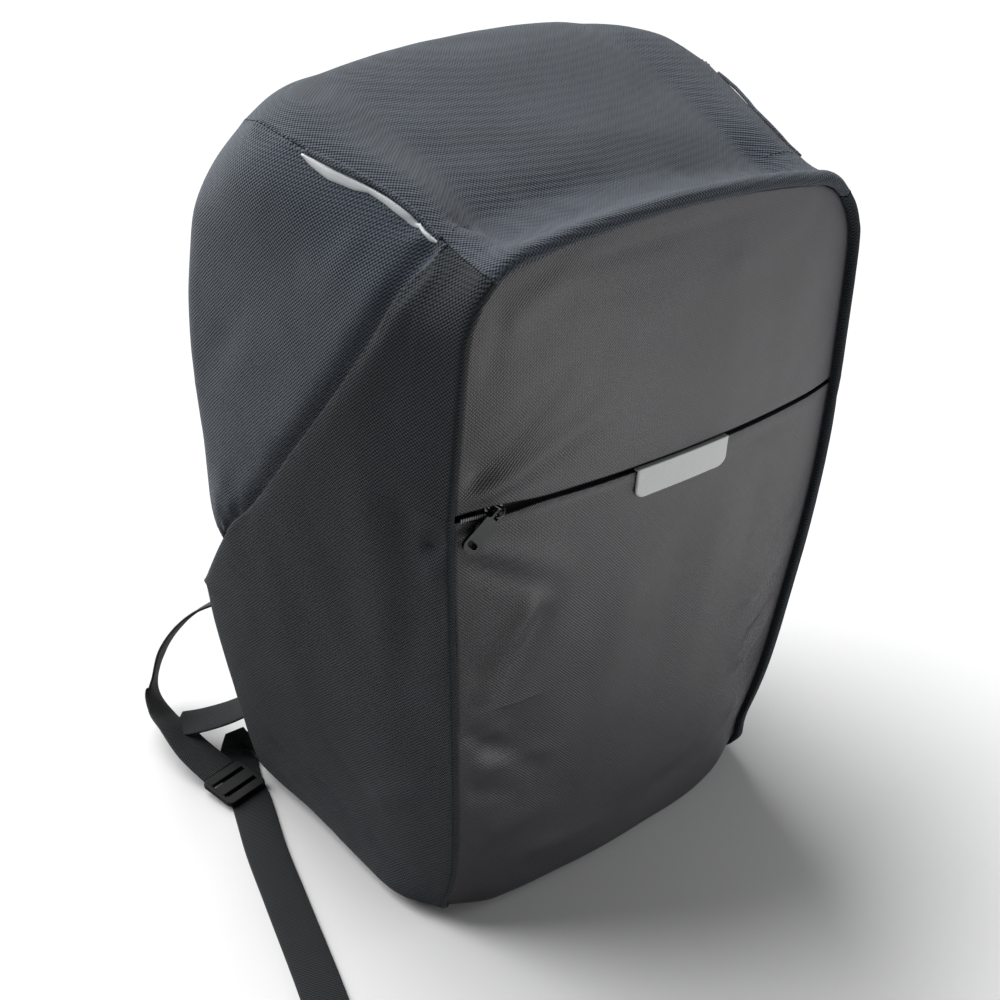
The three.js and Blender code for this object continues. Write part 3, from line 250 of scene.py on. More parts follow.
# %% Spacer mesh and zip tape
def spacer_mesh(name, dark, light, hole):
    """Padding's knitted mesh: holes about hole metres apart."""
    material, tree = blank(name)
    place = add(tree, "TexCoord").outputs["Object"]
    holes = add(tree, "TexVoronoi", {"Scale": 1 / hole, "Randomness": 0.25}, {"Vector": place})
    edge = add(tree, "MapRange", {"From Min": 0.15, "From Max": 0.5}, {"Value": holes.outputs["Distance"]})
    ramp = add(tree, "ValToRGB", links={0: edge.outputs[0]})
    ramp.color_ramp.elements[0].color = linear(dark)
    ramp.color_ramp.elements[1].color = linear(light)
    bump = add(tree, "Bump", {"Strength": 0.8, "Distance": 0.0006}, {"Height": edge.outputs[0]})
    shader = add(tree, "BsdfPrincipled", {
        "Roughness": 0.9, "Sheen Weight": 0.1, "Specular IOR Level": 0.15, "IOR": 1.5,
    }, {"Base Color": ramp.outputs[0], "Normal": bump.outputs[0]})
    finish_with(tree, shader)
    return material


HOLE = 3.0 * MM
padded_mesh = spacer_mesh("padded_mesh", "#101214", "#22262a", HOLE)
zip_tape = cloth("knitted_zip_tape", "#1d1f22", "#34373b", 0.9 * MM, roughness=0.8, sheen=0.1, depth=0.08 * MM)
print("mesh holes", HOLE / MM, "mm apart")

# %% [markdown]
# ## Small hard finishes
# The tab is a matte rubbery film, the strips are cloth with glass beads that throw light back, the
# zip's slider is die cast zinc in glossy black enamel, and the buckles and coil are moulded nylon. Each has
# a fine grain, so that no surface is perfectly even.

# %% Hard finishes
def moulded(name, colour, roughness, grain, depth, coat=0.0, gloss=0.5):
    """A moulded or painted finish, with a grain some metres wide and depth metres high."""
    material, tree = blank(name)
    place = add(tree, "TexCoord").outputs["Object"]
    fine = add(tree, "TexNoise", {"Scale": 1 / grain, "Detail": 4.0}, {"Vector": place})
    ramp = add(tree, "ValToRGB", links={0: fine.outputs[0]})
    base = linear(colour)
    ramp.color_ramp.elements[0].color = [c * 0.88 for c in base[:3]] + [1]
    ramp.color_ramp.elements[1].color = [min(1, c * 1.12) for c in base[:3]] + [1]
    bump = add(tree, "Bump", {"Strength": 0.5, "Distance": depth}, {"Height": fine.outputs[0]})
    shader = add(tree, "BsdfPrincipled", {
        "Roughness": roughness, "Coat Weight": coat, "Coat Roughness": 0.08,
        "Specular IOR Level": gloss, "IOR": 1.5,
    }, {"Base Color": ramp.outputs[0], "Normal": bump.outputs[0]})
    finish_with(tree, shader)
    return material


rubber_tab = moulded("matte_rubber_film", "#969897", 0.62, 0.8 * MM, 0.02 * MM)
bead_strip = moulded("glass_bead_cloth", "#74787b", 0.42, 0.5 * MM, 0.03 * MM, coat=0.2)
black_enamel = moulded("black_enamel_on_zinc", "#0a0b0d", 0.12, 2.0 * MM, 0.01 * MM, coat=0.9)
puller_face = moulded("matte_lacquer_on_zinc", "#0f1312", 0.45, 0.4 * MM, 0.02 * MM, coat=0.1, gloss=0.3)
nylon = moulded("moulded_nylon", "#08090a", 0.7, 0.7 * MM, 0.03 * MM, gloss=0.15)
coil_nylon = moulded("nylon_coil", "#6c6e70", 0.35, 0.5 * MM, 0.01 * MM)
thread = moulded("polyester_thread", "#3c4147", 0.7, 0.4 * MM, 0.02 * MM)
print("finishes:", len(bpy.data.materials))

# %% [markdown]
# ## Sewing a panel
# A sewn panel has a wall, soft edges at its seams and folds across it. It could be drawn afresh, simulated,
# or grown from the solid that already has its size. The solid is the pattern piece here: its triangles are
# joined to four sided faces, its edges at the seams are creased, and subdivision rounds all the rest.
# Subdivision pulls a round form inwards, so the points are moved out a few times until the smooth surface
# runs through the solid's own points. Then the folds are pressed in. That keeps the seams of neighbours
# together, which a simulation wouldn't.

# %% Meshes and pieces
def mesh_of(name, form):
    """An edited mesh as mesh data of some name."""
    data = bpy.data.meshes.new(name)
    form.to_mesh(data)
    form.free()
    return data


def placed(name, data, material, node=None):
    """A piece of the bag with its finish. It stands for a solid where one is named."""
    piece = bpy.data.objects.new(name, data)
    bpy.context.scene.collection.objects.link(piece)
    data.materials.clear()
    data.materials.append(material)
    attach(piece, "bag")
    if node:
        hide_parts(node)
    return piece


def points_of(data):
    """A mesh's points as an array of rows."""
    flat = np.zeros(len(data.vertices) * 3, np.float32)
    data.vertices.foreach_get("co", flat)
    return flat.reshape(-1, 3).astype(float)


def put_points(data, points):
    """Moves a mesh's points to the rows of an array."""
    data.vertices.foreach_set("co", points.astype(np.float32).ravel())
    data.update()


def shade_smooth(data):
    """Smooth shading on every face of a mesh."""
    data.polygons.foreach_set("use_smooth", [True] * len(data.polygons))


def tree_of(points):
    """A tree that finds the nearest of some points."""
    tree = kdtree.KDTree(len(points))
    for index, point in enumerate(points):
        tree.insert(point, index)
    tree.balance()
    return tree


print("points in all solids:", sum(len(solid.data.vertices) for solid in nodes.values()))

# %% Pattern pieces
# points of two solids this close lie at one seam, and an edge this sharp keeps its crease
SEAM_REACH = 1.6 * MM
SHARP_FOLD = math.radians(78)
RIM_STEP = 4 * MM
FIT_ROUNDS = 4


def seam_points(node):
    """A tree of the points of every other solid, to tell which edges lie at a seam."""
    others = [v.co for name, solid in nodes.items() if name != node for v in solid.data.vertices]
    return tree_of(others)


def subdivided(piece):
    """The mesh of an object with its modifiers applied."""
    return bpy.data.meshes.new_from_object(piece.evaluated_get(bpy.context.evaluated_depsgraph_get()))


def pattern_piece(node, levels):
    """A copy of a solid as a smooth subdivided mesh, and the points along its creased edges."""
    mesh = bmesh.new()
    mesh.from_mesh(nodes[node].data)
    bmesh.ops.remove_doubles(mesh, verts=mesh.verts, dist=1e-6)
    bmesh.ops.join_triangles(mesh, faces=mesh.faces, angle_face_threshold=0.9, angle_shape_threshold=1.2)
    tree = seam_points(node)
    crease = mesh.edges.layers.float.new("crease_edge")
    at_seam = {v: tree.find(v.co)[2] < SEAM_REACH for v in mesh.verts}
    rim = []
    for edge in mesh.edges:
        first, second = edge.verts
        sharp = edge.calc_face_angle(0) > SHARP_FOLD
        if sharp or (at_seam[first] and at_seam[second]):
            edge[crease] = 1.0
            steps = max(1, int(edge.calc_length() / RIM_STEP))
            rim += [first.co.lerp(second.co, k / steps) for k in range(steps + 1)]
    data = mesh_of(node + "_pattern", mesh)
    piece = bpy.data.objects.new(node + "_pattern", data)
    bpy.context.scene.collection.objects.link(piece)
    modifier = piece.modifiers.new("round", "SUBSURF")
    modifier.levels = modifier.render_levels = 1
    goal = points_of(data)
    hold = goal.copy()
    for _ in range(FIT_ROUNDS):
        hold += goal - points_of(subdivided(piece))[:len(goal)]
        put_points(data, hold)
    modifier.levels = modifier.render_levels = levels
    smooth = subdivided(piece)
    bpy.data.objects.remove(piece)
    return smooth, rim


print("seams are shared within", round(SEAM_REACH / MM, 1), "mm")

# %% [markdown]
# ## Folds
# Each fold is a soft ridge or valley along a line. The tables give its two ends, its half width and its
# height in millimetres, and a minus makes a valley. The folds are where the picture shows them: pulled
# rays round the slider, a dent low on the pocket, puckers up the right edge, the valley behind the front lip
# and the soft waves of the sides. Both faces of a wall move together, so that its thickness stays.

# %% Fold tables
# (x, y, z of one end), (x, y, z of the other), half width, height
FRONT_FOLDS = [
    ((-136, -87, 260), (-66, -97, 230), 5, 2.8), ((-132, -88, 250), (-66, -97, 214), 5, -2.6),
    ((-90, -96, 222), (-120, -88, 158), 7, 3.2), ((-78, -96, 214), (-108, -90, 146), 7, -2.8),
    ((-128, -87, 140), (-72, -95, 96), 6, -3.6), ((-124, -87, 128), (-98, -91, 136), 5, 2.4),
    ((-122, -87, 112), (-60, -96, 106), 6, 2.6), ((-120, -87, 96), (-84, -93, 84), 5, -2.0),
    ((-126, -87, 176), (-96, -92, 186), 6, -1.5), ((-110, -90, 60), (-60, -96, 70), 9, 1.6),
    ((-20, -99, 216), (-36, -97, 60), 14, 1.8), ((18, -99, 228), (6, -97, 70), 12, -1.7),
    ((48, -98, 232), (40, -97, 96), 12, 1.1), ((78, -96, 240), (70, -95, 110), 10, -0.9),
    ((97, -92, 110), (122, -88, 136), 5, -3.2), ((90, -92, 92), (124, -88, 122), 5, 2.8),
    ((104, -90, 60), (128, -87, 98), 5, -1.8), ((96, -91, 48), (122, -87, 84), 6, 1.3),
    ((84, -94, 140), (124, -88, 166), 6, 1.8), ((100, -92, 176), (128, -88, 196), 5, -1.9),
    ((-80, -95, 34), (-10, -98, 30), 7, 1.0), ((20, -98, 34), (80, -94, 42), 8, -1.0),
    ((-106, -94, 269), (60, -98, 271), 3.2, 0.9), ((60, -98, 262), (124, -90, 272), 5, -0.8),
    ((-138, -86, 281), (-50, -98, 320), 7, 3.6), ((-136, -87, 294), (-76, -95, 344), 7, -2.6),
    ((-120, -88, 372), (-70, -91, 398), 9, 1.3), ((-126, -87, 350), (-118, -89, 384), 6, -0.8),
    ((30, -99, 372), (100, -92, 392), 10, 1.0), ((-60, -97, 340), (20, -100, 318), 16, 0.9),
    ((60, -98, 330), (124, -90, 306), 9, -0.8), ((-96, -94, 396), (86, -93, 402), 5, -0.9),
]
SIDE_FOLDS = [
    ((-154, -64, 282), (-149, -68, 222), 9, -1.8), ((-149, -68, 222), (-145, -56, 150), 11, -1.5),
    ((-158, -40, 290), (-152, -48, 176), 12, 1.6), ((-151, -76, 258), (-144, -88, 270), 4, -3.2),
    ((-150, -78, 246), (-143, -88, 250), 5, 1.6), ((-150, -60, 344), (-156, -30, 300), 9, -1.2),
    ((-160, 0, 262), (-154, -40, 150), 12, -1.2), ((-160, 40, 220), (-150, 20, 80), 14, 1.3),
    ((-158, 80, 186), (-148, 60, 70), 10, -1.3), ((-152, 96, 150), (-142, 84, 40), 8, 1.2),
    ((-149, 66, 46), (-147, 30, 42), 5, -1.7), ((-147, 30, 42), (-142, -24, 33), 5, -1.7),
    ((-142, -24, 33), (-138, -66, 26), 5, -1.5), ((-146, 60, 26), (-140, -20, 18), 6, 1.2),
    ((-141, -30, 62), (-138, -70, 96), 7, 1.2), ((-146, 10, 90), (-142, -36, 52), 7, -1.0),
]
REAR_FOLDS = [
    ((-161, 14, 346), (-166, 72, 300), 14, 1.2), ((-163, 46, 260), (-166, 86, 214), 9, -1.4),
    ((-164, 60, 330), (-168, 96, 280), 9, -1.2), ((-158, 10, 376), (-164, 70, 372), 10, -1.1),
    ((-150, -14, 398), (-158, -2, 360), 7, 1.3), ((-166, 98, 350), (-167, 100, 250), 7, 1.2),
    ((-163, 80, 236), (-166, 98, 180), 7, 1.5), ((-150, 40, 412), (-160, 56, 388), 8, 1.2),
    ((-134, -44, 400), (-144, -18, 384), 4, 2.6), ((-135, -40, 404), (-142, -14, 396), 4, -2.0),
    ((-140, -38, 392), (-152, -14, 366), 5, -1.8),
]
TOP_FOLDS = [
    ((-122, -46, 406), (-70, -38, 411), 7, -2.2), ((-70, -38, 411), (24, -45, 410), 9, -1.7),
    ((24, -45, 410), (118, -50, 404), 8, -2.0), ((-124, -60, 405), (-60, -62, 412), 7, 1.2),
    ((-60, -62, 412), (118, -62, 405), 7, 0.8), ((-108, -50, 404), (-124, -40, 407), 3.4, -1.8),
    ((-100, 10, 424), (-30, -18, 424), 12, -1.0), ((-40, 60, 447), (60, 50, 446), 20, 1.0),
    ((-120, 60, 440), (-70, 20, 436), 14, 1.1), ((60, 10, 432), (126, 44, 428), 12, -1.1),
    ((-10, -10, 426), (80, -20, 420), 10, 0.9), ((-120, 20, 422), (-132, 40, 430), 6, -1.2),
    ((100, 80, 440), (132, 60, 432), 10, 1.1), ((-20, 84, 451), (90, 84, 446), 9, -0.8),
    ((126, -52, 402), (108, -46, 404), 3.4, -2.0), ((-90, -80, 408), (-20, -82, 412), 5, 0.8),
    ((40, -84, 409), (70, -70, 411), 4, -1.1),
]
BACK_FOLDS = [
    ((0, 118, 380), (0, 118, 40), 9, -3.0), ((-118, 114, 140), (118, 114, 140), 4, -2.4),
    ((-118, 114, 260), (118, 114, 260), 4, -2.4), ((-112, 114, 372), (112, 114, 372), 4, -2.0),
    ((-118, 110, 50), (118, 110, 50), 4, -1.8),
]
# the pleat's folded edge on the right, in millimetres; the left is its mirror image
PLEAT_LINE = [
    (145.8, 111.4, 150), (151.7, 109.4, 152.4), (161.7, 73.2, 194.5), (161, 44.3, 229.6),
    (160.6, 9.4, 275.5), (160, -0.4, 289), (157.8, -21.3, 321), (154.4, -45.1, 363), (150, -50.4, 379),
    (140.4, -54.4, 392), (129.8, -56.5, 401.8),
]


def beside_pleat(behind, width, rise):
    """Even folds that follow the pleat on the left, behind it by some millimetres."""
    line = [(-x, y + 0.8 * behind, z + 0.6 * behind) for x, y, z in PLEAT_LINE[1:-1]]
    return [(a, b, width, rise, True) for a, b in zip(line, line[1:])]


def mirror(folds):
    """The same folds on the right."""
    return [((-a[0], a[1], a[2]), (-b[0], b[1], b[2]), *rest) for a, b, *rest in folds]


print("folds:", len(FRONT_FOLDS + SIDE_FOLDS + REAR_FOLDS + TOP_FOLDS + BACK_FOLDS))

# %% Height of folds and waves
def fold_height(points, folds):
    """The height in metres that the folds add at each point. Even folds with one width and height join up."""
    height = np.zeros(len(points))
    joined = {}
    for start, end, width, rise, *even in folds:
        a, b = np.array(start) * MM, np.array(end) * MM
        run = b - a
        share = np.clip((points - a) @ run / (run @ run), 0, 1)
        away = np.linalg.norm(points - a - share[:, None] * run, axis=1)
        if even:
            joined[width, rise] = np.minimum(joined.get((width, rise), 1.0), away)
        else:
            fade = np.minimum(1, 0.25 + share / 0.2) * (1 - share) ** 0.6
            height += rise * MM * fade * np.exp(-((away / (width * MM)) ** 2))
    for (width, rise), away in joined.items():
        height += rise * MM * np.exp(-((away / (width * MM)) ** 2))
    return height


def waves(points, size, height):
    """Soft irregular waves, size metres across and height metres high."""
    return np.array([noise.noise(Vector(p) / size) for p in points]) * height


print("a fold 1 mm high is", fold_height(np.zeros((1, 3)), [((0, 0, 0), (1, 0, 0), 1, 1, True)])[0] / MM, "mm")

# %% Soft moves
# middle, reach and move in millimetres: where the stuffed cloth stands out more than the solid, or less
EASE = [
    ((-168, 84, 300), 90, (-4, 2, 0)), ((168, 20, 190), 75, (5, 0, 0)), ((150, -60, 210), 70, (7, 0, 0)),
    ((90, 90, 440), 60, (3, 2, 6)), ((152, -90, 395), 40, (-4, 0, -2)), ((143, -90, 6), 46, (-11, 8, 8)),
    ((160, -70, 150), 60, (4, 0, 0)), ((-140, 40, 8), 60, (3, 0, 3)), ((-141, -94, 2), 26, (7, 8, 5)),
    ((-139, -22, 410), 42, (6, 0, 5)), ((139, -22, 410), 42, (-6, 0, 3)),
]


def eased(points):
    """Points moved by the soft moves of the table above."""
    moved = points.copy()
    for middle, reach, move in EASE:
        away = np.linalg.norm(points - np.array(middle) * MM, axis=1)
        moved += np.exp(-((away / (reach * MM)) ** 2))[:, None] * np.array(move) * MM
    moved[:, 2] = np.maximum(moved[:, 2], 0)
    return moved


def ironed(data, share, rounds):
    """The points of a mesh evened out with their neighbours, so that close rows of a pattern leave no line."""
    points = points_of(data)
    pairs = np.zeros(len(data.edges) * 2, np.int32)
    data.edges.foreach_get("vertices", pairs)
    first, second = pairs.reshape(-1, 2).T
    count = np.bincount(pairs, minlength=len(points))[:, None]
    for _ in range(rounds):
        total = np.zeros_like(points)
        np.add.at(total, first, points[second])
        np.add.at(total, second, points[first])
        points += 0.5 * share[:, None] * (total / count - points)
    return points


print("soft moves:", len(EASE))

# %% Sewing
LONG_WAVE, SHORT_WAVE = 45 * MM, 16 * MM
SHORT_SHARE = 0.25


def sew(node, name, material, out, folds=(), levels=2, wave=0.7 * MM, fade=12 * MM, iron=0):
    """A cloth piece that stands for a solid: subdivided, pressed with folds along out, and finished."""
    data, rim = pattern_piece(node, levels)
    tree = tree_of(rim)
    near = np.array([tree.find(Vector(p))[2] for p in points_of(data)])
    soft = np.clip(near / fade, 0, 1)
    soft = soft * soft * (3 - 2 * soft)
    points = ironed(data, soft, iron)
    uneven = waves(points, LONG_WAVE, wave) + waves(points, SHORT_WAVE, wave * SHORT_SHARE)
    lift = (fold_height(points, folds) + uneven) * soft
    put_points(data, eased(points + lift[:, None] * np.array(out)))
    shade_smooth(data)
    data.name = name
    print(f"{name}: {len(data.polygons)} faces, folds up to {abs(lift).max() / MM:.1f} mm")
    return placed(name, data, material, node)


print("waves", round(LONG_WAVE / MM), "and", round(SHORT_WAVE / MM), "mm across")

# %% [markdown]
# ## The bag's panels
# The front is two coated panels that meet at the pocket's slit. The sides have a front part that ends in a
# diagonal pleat and a rear part that tucks under it. The top carries the rolled lip, a shallow valley and a
# dome. The back is padded, and it is out of the picture, so it is finished plainly. The pocket's solid has two
# rows of points close together, which would show as a line, so its points are ironed out first.

# %% Panels
FRONT, LEFT, RIGHT, UP, BACK = (0, -1, 0), (-1, 0, 0), (1, 0, 0), (0, 0, 1), (0, 1, 0)
PLEATED = SIDE_FOLDS + beside_pleat(-5, 6, 1.8)
BEHIND = REAR_FOLDS + beside_pleat(6, 7, -4.5)
sew("front_pocket_panel", "pocket_cloth", coated_polyester, FRONT, FRONT_FOLDS, 3, iron=10)
sew("front_upper_panel", "upper_front_cloth", coated_polyester, FRONT, FRONT_FOLDS, 3)
# the pleated sides wear the darker copy of the cloth, which is painted shade
sew("side_front_left", "pleated_side_left", painted_shade_polyester, LEFT, PLEATED, 3, fade=5 * MM)
sew("side_front_right", "pleated_side_right", painted_shade_polyester, RIGHT, mirror(PLEATED), 3, fade=5 * MM)
rear_left = sew("side_rear_left", "rear_side_left", woven_polyester, LEFT, BEHIND, 3, fade=4 * MM)
rear_right = sew("side_rear_right", "rear_side_right", woven_polyester, RIGHT, mirror(BEHIND), 3,
                 fade=4 * MM)
top = sew("top_panel", "top_cloth", woven_polyester, UP, TOP_FOLDS, 3)
back = sew("back_panel", "padded_back", padded_mesh, BACK, BACK_FOLDS)
sew("base_panel", "base_cloth", woven_polyester, UP, levels=1, wave=0.0)
sew("main_zip", "main_zip_tape", zip_tape, BACK, wave=0.0)
sew("front_tab", "blank_tab", rubber_tab, FRONT, wave=0.15 * MM, fade=2 * MM)

# %% [markdown]
# ## Webbing
# Webbing is flat and keeps its width, so it is drawn as a ribbon along a smooth line through a few points,
# with the direction of its width at each point. A simulation would gain little on such stiff short lengths.
# The lines follow the route of the solids, and only the short anchor keeps a little higher, as the picture
# shows it.

# %% Strap tables
# x, y, z of the middle in millimetres, and the direction of the width
LEFT_WEB = [
    (-119.3, 126.3, 123.7, 1, 0, 0), (-133.1, 127, 116.2, 0.88, 0.3, 0),
    (-151.5, 140.5, 102.1, 0.87, 0.45, -0.2), (-159.1, 164.5, 71.4, 0.89, 0.43, 0.11),
    (-162.2, 179.5, 40.6, 0.74, 0.66, 0.12),
    (-166.8, 180.3, 22.7, 0.6, 0.66, -0.45), (-170.5, 162.5, 15.3, 0.8, 0.28, -0.5),
    (-171.5, 144, 15, 0.92, 0.12, -0.36), (-171.4, 119.5, 11.8, 0.96, 0.05, -0.1), (-166.8, 97.8, 6.8, 1, 0, 0),
]
RIGHT_WEB = [
    (119.3, 126.3, 124.2, 1, 0, 0), (117.8, 128.5, 97, 1, 0, 0), (113.2, 136, 54.7, 1, 0, 0),
    (110.2, 146.5, 29.1, 1, 0, 0),
]
LEFT_ANCHOR = [
    (-130, 113.5, 36.8, 0.6, 0.8, 0), (-143, 124, 27, 0.6, 0.8, 0), (-157, 138, 17.5, 0.6, 0.8, 0),
    (-167, 150, 11.5, 0.66, 0.76, 0),
]
LEFT_TAIL = [
    (-110.2, 113.5, 6.7, 0, 1, 0), (-127, 115, 2.9, 0.5, 0.8, 0), (-143.8, 110.5, 1, 0.85, 0.5, 0),
    (-154.3, 92.5, 1, 0.95, -0.3, 0), (-161.7, 69, 1, 0.93, -0.35, 0), (-178.1, 26, 1, 0.93, -0.33, 0),
    (-191, -14, 1, 0.94, -0.32, 0), (-216.2, -92, 1, 0.95, -0.3, 0), (-228.9, -125, 1, 0.95, -0.3, 0),
]
RIGHT_TAIL = [
    (107.1, 110, 6.7, 0, 1, 0), (119.3, 119.5, 2.2, 0.9, 0.4, 0), (113.2, 142, 1, 0.9, 0.4, 0),
    (84.2, 164.5, 1, 0.5, 0.8, 0), (30.6, 170.5, 1, 0, 1, 0), (-68.9, 164.5, 1, 0, 1, 0),
]
WEB_WIDTH = 25 * MM
WEB_THICK = 1.6 * MM
print("webbing:", WEB_WIDTH / MM, "by", WEB_THICK / MM, "mm")

# %% Smooth lines
def smooth_line(rows, count):
    """Points along a centripetal curve through rows, count steps from end to end."""
    rows = np.array(rows, float)
    ends = [2 * rows[0] - rows[1], *rows, 2 * rows[-1] - rows[-2]]
    out = []
    for k in range(count + 1):
        at = k / count * (len(rows) - 1)
        i = min(int(at), len(rows) - 2)
        p = ends[i:i + 4]
        steps = [max(1e-4, np.linalg.norm(p[j + 1] - p[j]) ** 0.5) for j in range(3)]
        t = np.array([0, steps[0], steps[0] + steps[1], sum(steps)])
        x = t[1] + (at - i) * (t[2] - t[1])
        a = [((t[j + 1] - x) * p[j] + (x - t[j]) * p[j + 1]) / (t[j + 1] - t[j]) for j in range(3)]
        b = [((t[j + 2] - x) * a[j] + (x - t[j]) * a[j + 1]) / (t[j + 2] - t[j]) for j in range(2)]
        out.append(((t[2] - x) * b[0] + (x - t[1]) * b[1]) / (t[2] - t[1]))
    return np.array(out)


print("halfway along the loop:", smooth_line([row[:3] for row in LEFT_WEB], 2)[1].round(1))

# %% Ribbons
# across the ribbon: share of the half width, and share of the half thickness of its upper and lower face
RIBBON = [
    (-1, 0.25), (-0.975, 0.8), (-0.92, 1), (-0.5, 0.93), (0, 0.9),
    (0.5, 0.93), (0.92, 1), (0.975, 0.8), (1, 0.25),
]


def ribbon(name, table, count, node):
    """Webbing along a table of points in count steps. Its UV map is in metres across and along."""
    middles = smooth_line([row[:3] for row in table], count) * MM
    widths = smooth_line([row[3:] for row in table], count)
    mesh = bmesh.new()
    uv = mesh.loops.layers.uv.new("strap")
    rings, run = [], 0.0
    for k, middle in enumerate(middles):
        ahead = middles[min(k + 1, count)] - middles[max(k - 1, 0)]
        ahead /= np.linalg.norm(ahead)
        side = widths[k] - (widths[k] @ ahead) * ahead
        side *= WEB_WIDTH / 2 / np.linalg.norm(side)
        out = np.cross(side, ahead)
        out *= WEB_THICK / 2 / np.linalg.norm(out)
        run += np.linalg.norm(middle - middles[k - 1]) if k else 0.0
        section = [(a, h) for a, h in RIBBON] + [(a, -h) for a, h in reversed(RIBBON)]
        ring = np.array([middle + a * side + h * out for a, h in section])
        ring[:, 2] += max(0.0, FLOOR_GAP - ring[:, 2].min())
        rings.append([(mesh.verts.new(p), (a * WEB_WIDTH / 2, run)) for p, (a, h) in zip(ring, section)])
    size = len(rings[0])
    for first, second in zip(rings, rings[1:]):
        for j in range(size):
            corners = [first[j], first[(j + 1) % size], second[(j + 1) % size], second[j]]
            face = mesh.faces.new([v for v, _ in corners])
            face.smooth = True
            for loop, (_, place) in zip(face.loops, corners):
                loop[uv].uv = place
    for ring in (rings[0], rings[-1]):
        mesh.faces.new([v for v, _ in ring])
    bmesh.ops.recalc_face_normals(mesh, faces=mesh.faces)
    print(f"{name}: {run / MM:.0f} mm long")
    return placed(name, mesh_of(name, mesh), polyester_webbing, node)


ribbon("webbing_loop_left", LEFT_WEB, 150, "strap_webbing_left")
ribbon("webbing_right", RIGHT_WEB, 50, "strap_webbing_right")
ribbon("anchor_webbing_left", LEFT_ANCHOR, 40, "strap_anchor_left")
ribbon("loose_end_left", LEFT_TAIL, 150, "strap_tail_left")
ribbon("loose_end_right", RIGHT_TAIL, 110, "strap_tail_right")

# %% [markdown]
# ## Padded shoulder straps
# A shoulder strap is foam between mesh and woven cloth, sewn together round its edge. It could be subdivided
# like the panels, but stuffing is what gives it its form, so a short cloth simulation blows it up from a
# slightly smaller shape. The move of each point is capped, because the straps lie against the back. The
# sewn line down the middle comes after the simulation.

# %% Stuffing
SMALLER, CAP, VOXEL = 2.0 * MM, 2.2 * MM, 4 * MM
STUFF_STEPS, STUFF_PRESSURE, STUFF_QUALITY, CLOTH_MASS = 20, 4, 6, 0.2


def shown(piece, kind, **settings):
    """The mesh of a piece with one more modifier, which is then removed."""
    modifier = piece.modifiers.new(kind.lower(), kind)
    for key, value in settings.items():
        setattr(modifier, key, value)
    data = subdivided(piece)
    piece.modifiers.remove(modifier)
    return data


def stuff(piece, folds):
    """Blows a closed piece up with a cloth simulation, then rounds it and presses its sewn lines."""
    material = piece.data.materials[0]
    piece.data = shown(piece, "REMESH", mode="VOXEL", voxel_size=VOXEL)
    normals = np.array([v.normal for v in piece.data.vertices])
    start = points_of(piece.data) - normals * SMALLER
    put_points(piece.data, start)
    cloth_rules = piece.modifiers.new("stuffing", "CLOTH")
    cloth_rules.settings.quality = STUFF_QUALITY
    cloth_rules.settings.mass = CLOTH_MASS
    cloth_rules.settings.use_pressure = True
    cloth_rules.settings.uniform_pressure_force = STUFF_PRESSURE
    cloth_rules.settings.effector_weights.gravity = 0
    cloth_rules.point_cache.frame_end = STUFF_STEPS
    for moment in range(1, STUFF_STEPS + 1):
        bpy.context.scene.frame_set(moment)
    move = points_of(subdivided(piece)) - start
    piece.modifiers.remove(cloth_rules)
    bpy.context.scene.frame_set(1)
    far = np.linalg.norm(move, axis=1, keepdims=True)
    move *= np.minimum(1, CAP / np.maximum(far, 1e-9))
    put_points(piece.data, start + move)
    print(f"{piece.name}: swelled by up to {far.max() / MM:.1f} mm, capped at {CAP / MM:.1f} mm")
    piece.data = shown(piece, "SUBSURF", levels=1, render_levels=1)
    points = points_of(piece.data)
    points[:, 1] += fold_height(points, folds)
    put_points(piece.data, points)
    shade_smooth(piece.data)
    piece.data.materials.clear()
    piece.data.materials.append(material)


print("stuffing runs for", STUFF_STEPS, "steps")

# %% Shoulder straps
STRAP_FOLDS = [
    ((44, 150, 392), (74, 160, 262), 4, -1.2, True), ((74, 160, 262), (112, 142, 140), 4, -1.2, True),
]
STRAP_WAVE = 0.3 * MM
strap_right = sew("shoulder_strap_right", "padded_strap_right", padded_mesh, BACK, wave=STRAP_WAVE)
strap_left = sew("shoulder_strap_left", "padded_strap_left", padded_mesh, BACK, wave=STRAP_WAVE)
stuff(strap_right, STRAP_FOLDS)
stuff(strap_left, mirror(STRAP_FOLDS))

# %% [markdown]
# ## Folded edges, light strips and stitches
# The pleat ends in a folded edge, and the top ends at its side seams in a short folded lip with a strip of
# glass bead cloth below it. A folded edge is a soft roll of cloth, drawn as a tube with an oval section that
# sinks into the panels. The strip is a thin ribbon whose width swells and shrinks, because the lip above it
# bends at two places. Stitches are short threads laid along the seams.

# %% Tubes
TUBE_SIDES = 12


def tube(name, line, across, radii, material, node=None):
    """A tube along points in metres, with the direction of its first radius and two radii for each point."""
    mesh = bmesh.new()
    rings = []
    for k, middle in enumerate(line):
        ahead = line[min(k + 1, len(line) - 1)] - line[max(k - 1, 0)]
        ahead = ahead / np.linalg.norm(ahead)
        side = np.array(across[k]) - (np.array(across[k]) @ ahead) * ahead
        side /= np.linalg.norm(side)
        up = np.cross(side, ahead)
        ring = []
        for j in range(TUBE_SIDES):
            angle = 2 * math.pi * j / TUBE_SIDES
            out = side * radii[k][0] * math.cos(angle) + up * radii[k][1] * math.sin(angle)
            ring.append(mesh.verts.new(middle + out))
        rings.append(ring)
    for first, second in zip(rings, rings[1:]):
        for j in range(TUBE_SIDES):
            after = (j + 1) % TUBE_SIDES
            mesh.faces.new([first[j], first[after], second[after], second[j]]).smooth = True
    mesh.faces.new(rings[0])
    mesh.faces.new(rings[-1])
    bmesh.ops.recalc_face_normals(mesh, faces=mesh.faces)
    return placed(name, mesh_of(name, mesh), material, node)


print("tubes have", TUBE_SIDES, "sides")

